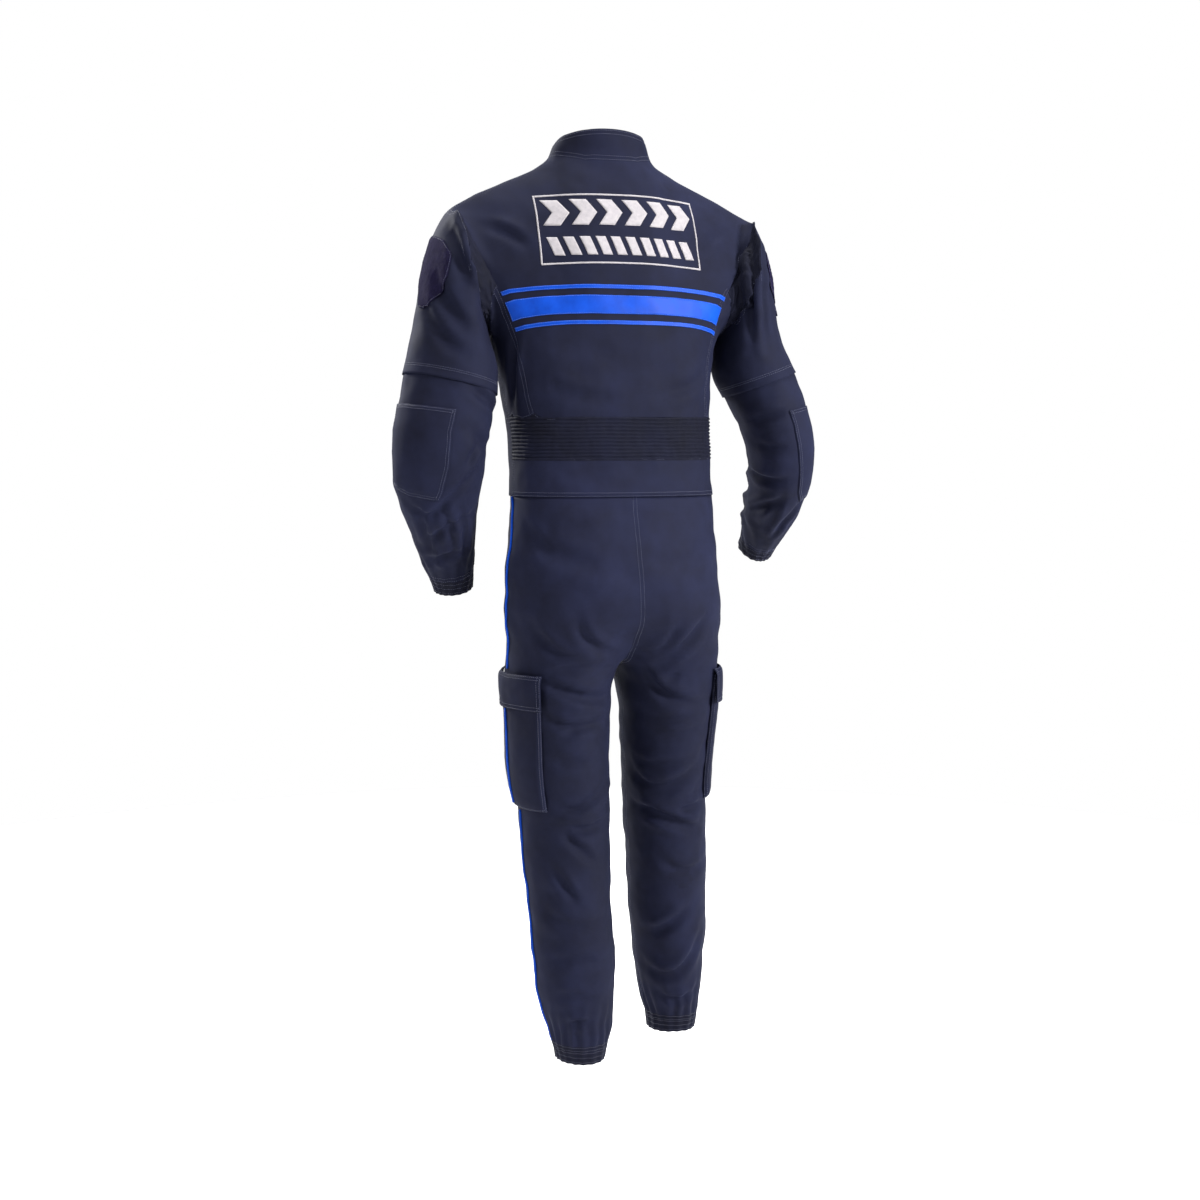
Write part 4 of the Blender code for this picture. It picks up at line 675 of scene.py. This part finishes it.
CUFF_DEEP = 0.028
finishes = {"zip_tape": zip_weave, "navy_elastic": navy_shirred}
shown = {}
for key, skin in skins.items():
    for k, node in enumerate(members[key]):
        bm = bmesh.new()
        bm.from_mesh(skin)
        bmesh.ops.delete(bm, geom=[f for f in bm.faces if f.material_index != k], context="FACES")
        mesh = bpy.data.meshes.new(node + "_cloth")
        bm.to_mesh(mesh)
        bm.free()
        slot = slot_of(node)
        if node == "waist_elastic_back":
            shirr(mesh, 13, 0.0026, True)
        if node.startswith("gusset"):
            shirr(mesh, 15, 0.0018, False)
        flat, area = sheet_size(mesh, cloth_map(mesh))
        if node.startswith("cuff"):
            flat = (round(1.01 * area / CUFF_DEEP, 4), CUFF_DEEP)
        finish = finishes.get(slot, navy_twill)
        piece = new_piece(node + "_cloth", mesh, finish)
        walled(piece, SHOWN_WALL)
        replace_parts(piece, node)
        shown[node] = piece

# ---- Back tape --------------------------------------------------------------------
# Royal blue satin tape with woven edges in three runs, thin, wide and thin, sewn flat
# across the back from side to side. A run is 347 mm long.
TAPE_RUN, TAPE_LEAST, TAPE_LIFT, TAPE_WALL = 0.347, 0.010, 0.0013, 0.0008


def draped(node, key, lift, cuts, material, wall):
    """A sewn-on piece, from its solid's outer wall, laid on the creased cloth under it."""
    bm = outer_wall(node)
    bmesh.ops.join_triangles(bm, faces=bm.faces, angle_face_threshold=1.2, angle_shape_threshold=1.6)
    bmesh.ops.subdivide_edges(bm, edges=bm.edges, cuts=cuts, use_grid_fill=True)
    for vert in bm.verts:
        place, facing = surfaces[key].find_nearest(vert.co)[:2]
        vert.co = place + facing * lift
    for turn in range(2):
        bmesh.ops.smooth_vert(bm, verts=[v for v in bm.verts if not v.is_boundary], factor=0.5,
                              use_axis_x=True, use_axis_y=True, use_axis_z=True)
    mesh = bpy.data.meshes.new(node + "_cloth")
    bm.to_mesh(mesh)
    bm.free()
    flat, area = sheet_size(mesh, cloth_map(mesh))
    if node.startswith("tape"):
        flat = (TAPE_RUN, max(TAPE_LEAST, round(1.01 * area / TAPE_RUN, 4)))
    piece = new_piece(node + "_cloth", mesh, material)
    walled(piece, wall)
    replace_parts(piece, node)
    shown[node] = piece
    return piece


for node in ("tape_top", "tape_middle", "tape_low"):
    draped(node, "body", TAPE_LIFT, 5, blue_satin, TAPE_WALL)

# ---- Back badge -------------------------------------------------------------------
# A rectangle line and two rows of plain marks in off-white satin stitch, embroidered
# through the cloth between the shoulders: six bold chevrons over ten slanted bars.
BADGE_MID_X, BADGE_HALF = -0.0040, 0.1305
BADGE_TOP, BADGE_LOW, BADGE_LINE = -0.0385, -0.1445, 0.0026
THREAD_LIFT, THREAD_WALL = 0.0011, 0.0012


def embroidery(name):
    """Satin-stitch thread: close upright floats with a soft lustre, one float drawn 0.8 mm wide."""
    material, tree, shader = new_material(name)
    uv = add(tree, "ShaderNodeUVMap", {"uv_map": "cloth"})
    float_mm = 0.8
    floats = add(tree, "ShaderNodeTexWave",
                 {"bands_direction": "X", "Scale": 1000 * 2 * math.pi / (20 * float_mm), "Distortion": 0.8,
                  "Detail": 1.0}, {"Vector": uv.outputs["UV"]})
    worn = add(tree, "ShaderNodeTexNoise", {"Scale": 160.0}, {"Vector": uv.outputs["UV"]})
    shade = add(tree, "ShaderNodeMixRGB", {"Color1": linear("#827e84"), "Color2": linear("#aaa4a6")},
                {"Fac": worn.outputs["Fac"]})
    # The thread's colour is darkened by up to a third where the float relief is low: painted shade in the
    # grooves between the floats.
    tone_with_painted_shade = add(tree, "ShaderNodeMixRGB", {"blend_type": "MULTIPLY", "Fac": 0.30},
               {"Color1": shade.outputs["Color"], "Color2": floats.outputs["Color"]})
    relief = add(tree, "ShaderNodeBump", {"Strength": 0.5, "Distance": 0.0004},
                 {"Height": floats.outputs["Fac"]})
    tree.links.new(tone_with_painted_shade.outputs["Color"], shader.inputs["Base Color"])
    tree.links.new(relief.outputs["Normal"], shader.inputs["Normal"])
    shader.inputs["Roughness"].default_value = 0.5
    shader.inputs["Sheen Weight"].default_value = 0.1
    return material


white_thread = embroidery("off_white_satin_stitch")


def stitched_shape(bm, outline, across, up):
    """Adds a small grid to a mesh, each point placed by outline(u, v) and dropped on the back."""
    made = bmesh.ops.create_grid(bm, x_segments=across, y_segments=up, size=1.0)["verts"]
    for vert in made:
        u, v = vert.co.x, vert.co.y
        x, z = outline(u, v)
        place, facing = surfaces["body"].ray_cast(Vector((x, 0.5, z)), Vector((0, -1, 0)))[:2]
        edge = min(1 - abs(u), 1 - abs(v))
        vert.co = place + facing * (THREAD_LIFT * (0.35 + 0.65 * min(1.0, 4 * edge + 0.2)))


badge = bmesh.new()
mid_z, half_z = (BADGE_TOP + BADGE_LOW) / 2, (BADGE_TOP - BADGE_LOW) / 2


def bow(x):
    """The badge follows the shoulders: its ends hang a little lower than its middle."""
    return -0.004 * ((x - BADGE_MID_X) / BADGE_HALF) ** 2


for end in (-1, 1):
    stitched_shape(badge, lambda u, v, end=end: (
        BADGE_MID_X + u * BADGE_HALF,
        mid_z + end * half_z + v * BADGE_LINE / 2 + bow(BADGE_MID_X + u * BADGE_HALF)), 90, 2)
    stitched_shape(badge, lambda u, v, end=end: (
        BADGE_MID_X + end * BADGE_HALF + u * BADGE_LINE / 2,
        mid_z + v * (half_z + BADGE_LINE / 2) + bow(BADGE_HALF + BADGE_MID_X)), 2, 40)
# a row of marks: how many, its middle height, their half height, half width and lean,
# the row's half length, and whether they are chevrons
MARK_ROWS = [(6, -0.0660, 0.0200, 0.0125, 0.0075, 0.1030, True),
             (10, -0.1180, 0.0140, 0.0078, 0.0050, 0.1080, False)]
for count, height, tall, wide, lean, reach, chevron in MARK_ROWS:
    for k in range(count):
        middle = BADGE_MID_X - reach + 2 * reach * k / (count - 1)
        stitched_shape(badge, lambda u, v, m=middle: (
            m + u * wide + lean * ((abs(v) - 0.5) * 2 if chevron else v),
            height + v * tall + bow(m)), 10, 12)
mesh = bpy.data.meshes.new("badge_embroidery")
badge.normal_update()
for face in badge.faces:
    if face.normal.y < 0:
        face.normal_flip()
badge.to_mesh(mesh)
badge.free()
uv = mesh.uv_layers.new(name="cloth")
co = vertices(mesh)
for loop in mesh.loops:
    uv.data[loop.index].uv = (co[loop.vertex_index][0], co[loop.vertex_index][2])
walled(new_piece("badge_embroidery", mesh, white_thread), THREAD_WALL)

# ---- Sleeve patches ---------------------------------------------------------------
# Elbow patches of the same twill with a rounded lower corner, and shield-shaped loop
# pile patches on the upper arms that a removable badge would fasten to.
ELBOW_LIFT, ELBOW_WALL, PILE_LIFT, PILE_WALL = 0.0016, 0.0012, 0.0019, 0.0014
PILE_ROUGH, PILE_GRAIN = 0.0007, 0.0021


def loop_pile(name):
    """Loop pile: a dark violet-navy fuzz whose loops are about 0.7 mm, drawn 1.1 mm."""
    material, tree, shader = new_material(name)
    place = add(tree, "ShaderNodeTexCoord")
    loops = add(tree, "ShaderNodeTexVoronoi", {"Scale": 1000 / 1.1}, {"Vector": place.outputs["Object"]})
    patches = add(tree, "ShaderNodeTexNoise", {"Scale": 120.0, "Detail": 3.0},
                  {"Vector": place.outputs["Object"]})
    colour = add(tree, "ShaderNodeMixRGB", {"Color1": linear("#0d0b1c"), "Color2": linear("#1f1b38")},
                 {"Fac": patches.outputs["Fac"]})
    # The pile's colour is darkened by up to half where its relief is lowest: painted shade in the pits
    # between the loops.
    deep = add(tree, "ShaderNodeMixRGB", {"blend_type": "MULTIPLY", "Fac": 0.5},
               {"Color1": colour.outputs["Color"], "Color2": loops.outputs["Distance"]})
    relief = add(tree, "ShaderNodeBump", {"Strength": 0.9, "Distance": 0.0008},
                 {"Height": loops.outputs["Distance"]})
    tree.links.new(deep.outputs["Color"], shader.inputs["Base Color"])
    tree.links.new(relief.outputs["Normal"], shader.inputs["Normal"])
    shader.inputs["Roughness"].default_value = 0.95
    shader.inputs["Specular IOR Level"].default_value = 0.05
    shader.inputs["Sheen Weight"].default_value = 0.05
    shader.inputs["Sheen Tint"].default_value = linear("#8f86c0")
    return material


pile = loop_pile("violet_navy_loop_pile")
for side in BOTH:
    draped("elbow_patch_" + side, side, ELBOW_LIFT, 3, navy_twill, ELBOW_WALL)
    patch = draped("loop_patch_" + side, "body", PILE_LIFT, 7, pile, PILE_WALL)
    co, out = vertices(patch.data), facings(patch.data)
    settle(patch.data, co + out * (PILE_ROUGH * ruffle(co, PILE_GRAIN, 12.0))[:, None])

# ---- Cargo pockets ----------------------------------------------------------------
# Bellows pockets on the outer thighs with a flap; the bag stands off the leg behind.
for side in BOTH:
    for node in ("pocket_" + side, "pocket_flap_" + side):
        mesh = skin_of([node])
        co, out = vertices(mesh), facings(mesh)
        sag = 0.0016 * ruffle(co, 0.040, 14.0, (1, 1, 0.5)) + 0.0006 * ruffle(co, 0.014, 15.0)
        settle(mesh, co + out * sag[:, None])
        flat, area = sheet_size(mesh, cloth_map(mesh))
        piece = new_piece(node + "_cloth", mesh, navy_twill)
        walled(piece, SHOWN_WALL)
        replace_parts(piece, node)
        shown[node] = piece

# ---- Piping -----------------------------------------------------------------------
# Blue covered cord let into the outer leg seams from the waist to the ankle, and sewn
# down over the pockets.
PIPING_ROUND, PIPING_LIFT, PIPING_ON_POCKET = 0.0021, 0.0008, 0.0010


def lay_cord(node, points):
    """A round cord through points, made a mesh and put in a node's place."""
    name = node + "_cord"
    curve = bpy.data.curves.new(name, "CURVE")
    curve.dimensions, curve.bevel_depth, curve.bevel_resolution = "3D", PIPING_ROUND, 3
    curve.use_fill_caps = True
    spline = curve.splines.new("POLY")
    spline.points.add(len(points) - 1)
    for knot, p in zip(spline.points, points):
        knot.co = (*p, 1.0)
    obj = bpy.data.objects.new(name, curve)
    bpy.context.scene.collection.objects.link(obj)
    graph = bpy.context.evaluated_depsgraph_get()
    mesh = bpy.data.meshes.new_from_object(obj.evaluated_get(graph))
    bpy.data.objects.remove(obj)
    bm = bmesh.new()
    bm.from_mesh(mesh)
    bmesh.ops.remove_doubles(bm, verts=bm.verts, dist=1e-5)
    bmesh.ops.recalc_face_normals(bm, faces=bm.faces)
    bm.to_mesh(mesh)
    bm.free()
    mesh.name = name
    cloth_map(mesh)
    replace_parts(new_piece(name, mesh, blue_satin), node)


for side in BOTH:
    pair = (f"trouser_back_{side}", f"trouser_front_{side}")
    key, line, out = max(seams[pair], key=lambda run: len(run[1]))
    for node in ("piping_hip_" + side, "piping_leg_" + side):
        low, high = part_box(node)
        inside = (line[:, 2] > low.z - 0.002) & (line[:, 2] < high.z + 0.002)
        lay_cord(node, line[inside] + out[inside] * PIPING_LIFT)
    node = "piping_pocket_" + side
    bm = bmesh.new()
    bm.from_mesh(nodes[node].data)
    bmesh.ops.remove_doubles(bm, verts=bm.verts, dist=1e-5)
    line = {}
    for vert in bm.verts:
        line.setdefault(round(vert.co.z / 0.004), []).append(np.array(vert.co))
    bm.free()
    points = [np.mean(line[k], axis=0) for k in sorted(line)]
    bag = tree_of(shown["pocket_" + side].data)
    points = [np.array(place + facing * PIPING_ON_POCKET) for place, facing in
              (bag.find_nearest(Vector(p))[:2] for p in points)]
    lay_cord(node, points)

# ---- Seams and topstitching -------------------------------------------------------
# Felled seams with two rows of navy thread, hems and elastics with their own rows. A
# stitch is 2.8 mm long, one every 3.6 mm. The thread is drawn 0.64 mm thick, about twice
# the real one, so that it shows.
STITCH_PITCH, THREAD_STAND = 0.0036, 0.00015
STITCH_HALVES = (0.0014, 0.00032, 0.00032 * 0.8)


def spun_thread(name, colour):
    """Spun polyester thread: dull with a slight twist."""
    material, tree, shader = new_material(name)
    mottled(tree, shader, 700.0, "#171a2e", colour)
    shader.inputs["Roughness"].default_value = 0.6
    shader.inputs["Sheen Weight"].default_value = 0.2
    return material


navy_thread = spun_thread("navy_spun_thread", "#343a5c")
template = bmesh.new()
bmesh.ops.create_icosphere(template, subdivisions=1, radius=1.0)
stitch_points = np.array([v.co for v in template.verts])
stitch_faces = np.array([[v.index for v in f.verts] for f in template.faces])
template.free()


def dropped(tree, points):
    """Points dropped on a surface: their places, its facings there, and how far they fell."""
    found = [tree.find_nearest(Vector(p)) for p in points]
    places, facings_there = (np.array([f[k] for f in found]) for k in (0, 1))
    return places, facings_there, float(np.mean([f[3] for f in found]))


def offset_line(line, out, key, shift):
    """A line moved sideways over the cloth, then dropped on it."""
    along = np.gradient(line, axis=0)
    return dropped(surfaces[key], line + unit(np.cross(out, along)) * shift)


def evenly(line, out, pitch):
    """Places, directions and facings at even steps along a line."""
    steps = np.linalg.norm(np.diff(line, axis=0), axis=1)
    run = np.concatenate([[0], np.cumsum(steps)])
    at = np.arange(pitch / 2, run[-1], pitch)
    place = np.stack([np.interp(at, run, line[:, k]) for k in range(3)], axis=1)
    face = unit(np.stack([np.interp(at, run, out[:, k]) for k in range(3)], axis=1))
    ahead = np.stack([np.interp(at + pitch / 3, run, line[:, k]) for k in range(3)], axis=1)
    behind = np.stack([np.interp(at - pitch / 3, run, line[:, k]) for k in range(3)], axis=1)
    return place, unit(ahead - behind), face


def copies(name, points, faces, place, along, face, size, material):
    """One mesh of many like small pieces, each turned along its line."""
    across = unit(np.cross(face, along))
    turned = (points[None, :, 0:1] * size[0] * along[:, None, :]
              + points[None, :, 1:2] * size[1] * across[:, None, :]
              + points[None, :, 2:3] * size[2] * face[:, None, :])
    co = (turned + place[:, None, :]).reshape(-1, 3)
    shift = len(points) * np.arange(len(place))[:, None, None]
    index = (faces[None] + shift).reshape(-1, faces.shape[1])
    mesh = bpy.data.meshes.new(name)
    mesh.from_pydata(co.tolist(), [], index.tolist())
    return new_piece(name, mesh, material)


def sew(name, found, thread):
    """All the stitches of some thread rows, as one piece."""
    place, along, face = (np.concatenate([r[k] for r in found]) for k in range(3))
    copies(name, stitch_points, stitch_faces, place, along, face, STITCH_HALVES, thread)


def rows_for(pair):
    """Sideways places of the thread rows along a seam or an edge, in millimetres."""
    a, b = pair
    if b == "":
        if a.startswith("upper_sleeve"):
            return (13.0, 16.0)
        if a.startswith(("cuff", "ankle")):
            return (4.0, 12.0, 20.0)
        if a == "collar":
            return (2.5, 8.0)
        if a.startswith("waistband"):
            return (2.0, 7.0)
        return ()
    if "zip_tape" in pair:
        return (3.0, 9.0)
    if "upper_sleeve" in a + b:
        return (2.0, 8.0)
    if a.startswith("gusset") or b.startswith("gusset") or "waist_elastic" in a + b:
        return (2.0,)
    return (2.0, 8.0)


rows = {"body": [], "left": [], "right": []}
for pair, runs in sorted(seams.items()):
    for key, line, out in runs:
        for shift in rows_for(pair):
            ways = [offset_line(line, out, key, sign * shift / 1000) for sign in (1, -1)]
            if pair[1] == "":
                best = min(ways, key=lambda way: way[2])
            elif "zip_tape" in pair:
                best = max(ways, key=lambda way: abs(way[0][:, 0]).mean())
            else:
                best = ways[0]
            rows[key].append(evenly(best[0] + best[1] * THREAD_STAND, best[1], STITCH_PITCH))
for key, found in rows.items():
    sew("topstitch_" + key, found, navy_thread)


def edge_loops(obj):
    """The outline of an open piece, as runs of points with the cloth's facing."""
    bm = bmesh.new()
    bm.from_mesh(obj.data)
    nexts = {}
    for edge in bm.edges:
        if edge.is_boundary:
            a, b = (v.index for v in edge.verts)
            nexts.setdefault(a, []).append(b)
            nexts.setdefault(b, []).append(a)
    bm.free()
    co, out = vertices(obj.data), facings(obj.data)
    run = [min(nexts)]
    while True:
        onward = [w for w in nexts[run[-1]] if w not in run[-2:] and (w != run[0] or len(run) > 3)]
        if not onward or onward[0] == run[0] or len(run) > len(nexts):
            break
        run.append(onward[0])
    return co[run + run[:1]], out[run + run[:1]]


def inset_rows(obj, shifts):
    """Thread rows inside a piece's outline, at distances in millimetres."""
    line, out = edge_loops(obj)
    own = tree_of(obj.data)
    made = []
    for shift in shifts:
        along = np.gradient(line, axis=0)
        across = unit(np.cross(out, along))
        ways = [dropped(own, line + across * sign * shift / 1000) for sign in (1, -1)]
        place, face = min(ways, key=lambda way: way[2])[:2]
        made.append(evenly(place + face * THREAD_STAND, face, STITCH_PITCH))
    return made


found = []
for side in BOTH:
    found += inset_rows(shown["elbow_patch_" + side], (2.0, 6.0))
    found += inset_rows(shown["loop_patch_" + side], (1.5,))
    found += inset_rows(shown["pocket_" + side], (2.0, 7.0))
    found += inset_rows(shown["pocket_flap_" + side], (2.0, 7.0))
sew("topstitch_patches", found, navy_thread)
found = []
for node in ("tape_top", "tape_middle", "tape_low"):
    found += inset_rows(shown[node], (0.9,))
sew("topstitch_tapes", found, spun_thread("royal_blue_thread", "#2f7bf5"))

# ---- Zip --------------------------------------------------------------------------
# A moulded plastic chain: single teeth on alternate sides, 2.5 mm apart on a side, with
# a lacquered zinc slider at the collar and its pull tab.
TOOTH_STEP, TOOTH_SWING = 0.00125, 0.0010
TOOTH_HALVES = (0.00052, 0.0016, 0.0011)
chain = {}
for vert in nodes["zip_chain"].data.vertices:
    chain.setdefault(round(vert.co.z, 3), []).append(np.array(vert.co))
levels = sorted(chain)
spine = np.array([[*np.mean(chain[z], axis=0)[:2], z] for z in levels])
template = bmesh.new()
made = bmesh.ops.create_cube(template, size=2.0)
bmesh.ops.bevel(template, geom=template.edges[:], offset=0.35, segments=1, affect="EDGES",
                profile=0.5, material=-1)
bmesh.ops.triangulate(template, faces=template.faces)
tooth_points = np.array([v.co for v in template.verts])
tooth_faces = np.array([[v.index for v in f.verts] for f in template.faces])
template.free()
outward = unit(np.cross(np.gradient(spine, axis=0), np.array([1.0, 0, 0])))
outward *= np.sign(-outward[:, 1:2])
place, along, face = evenly(spine, outward, TOOTH_STEP)
across = np.cross(face, along)
swing = np.where(np.arange(len(place)) % 2, 1.0, -1.0)[:, None]
# Moulded acetal: black, half glossy.
teeth, tree, shader = new_material("moulded_black_acetal")
mottled(tree, shader, 500.0, "#0b0b0d", "#18181c")
shader.inputs["Roughness"].default_value = 0.38
piece = copies("zip_teeth", tooth_points, tooth_faces, place + across * swing * TOOTH_SWING,
               along, face, TOOTH_HALVES, teeth)
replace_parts(piece, "zip_chain")

# Cast zinc under dark lacquer: a metal sheen, paler and duller where it is rubbed.
lacquer, tree, shader = new_material("dark_lacquered_zinc")
rub = mottled(tree, shader, 260.0, "#2b2c30", "#5c5d62", 4.0)
gloss = add(tree, "ShaderNodeMapRange", {"To Min": 0.28, "To Max": 0.48}, {"Value": rub.outputs["Fac"]})
tree.links.new(gloss.outputs["Result"], shader.inputs["Roughness"])
shader.inputs["Metallic"].default_value = 0.85
for node in ("zip_slider", "zip_pull"):
    nodes[node].data.materials.clear()
    nodes[node].data.materials.append(lacquer)
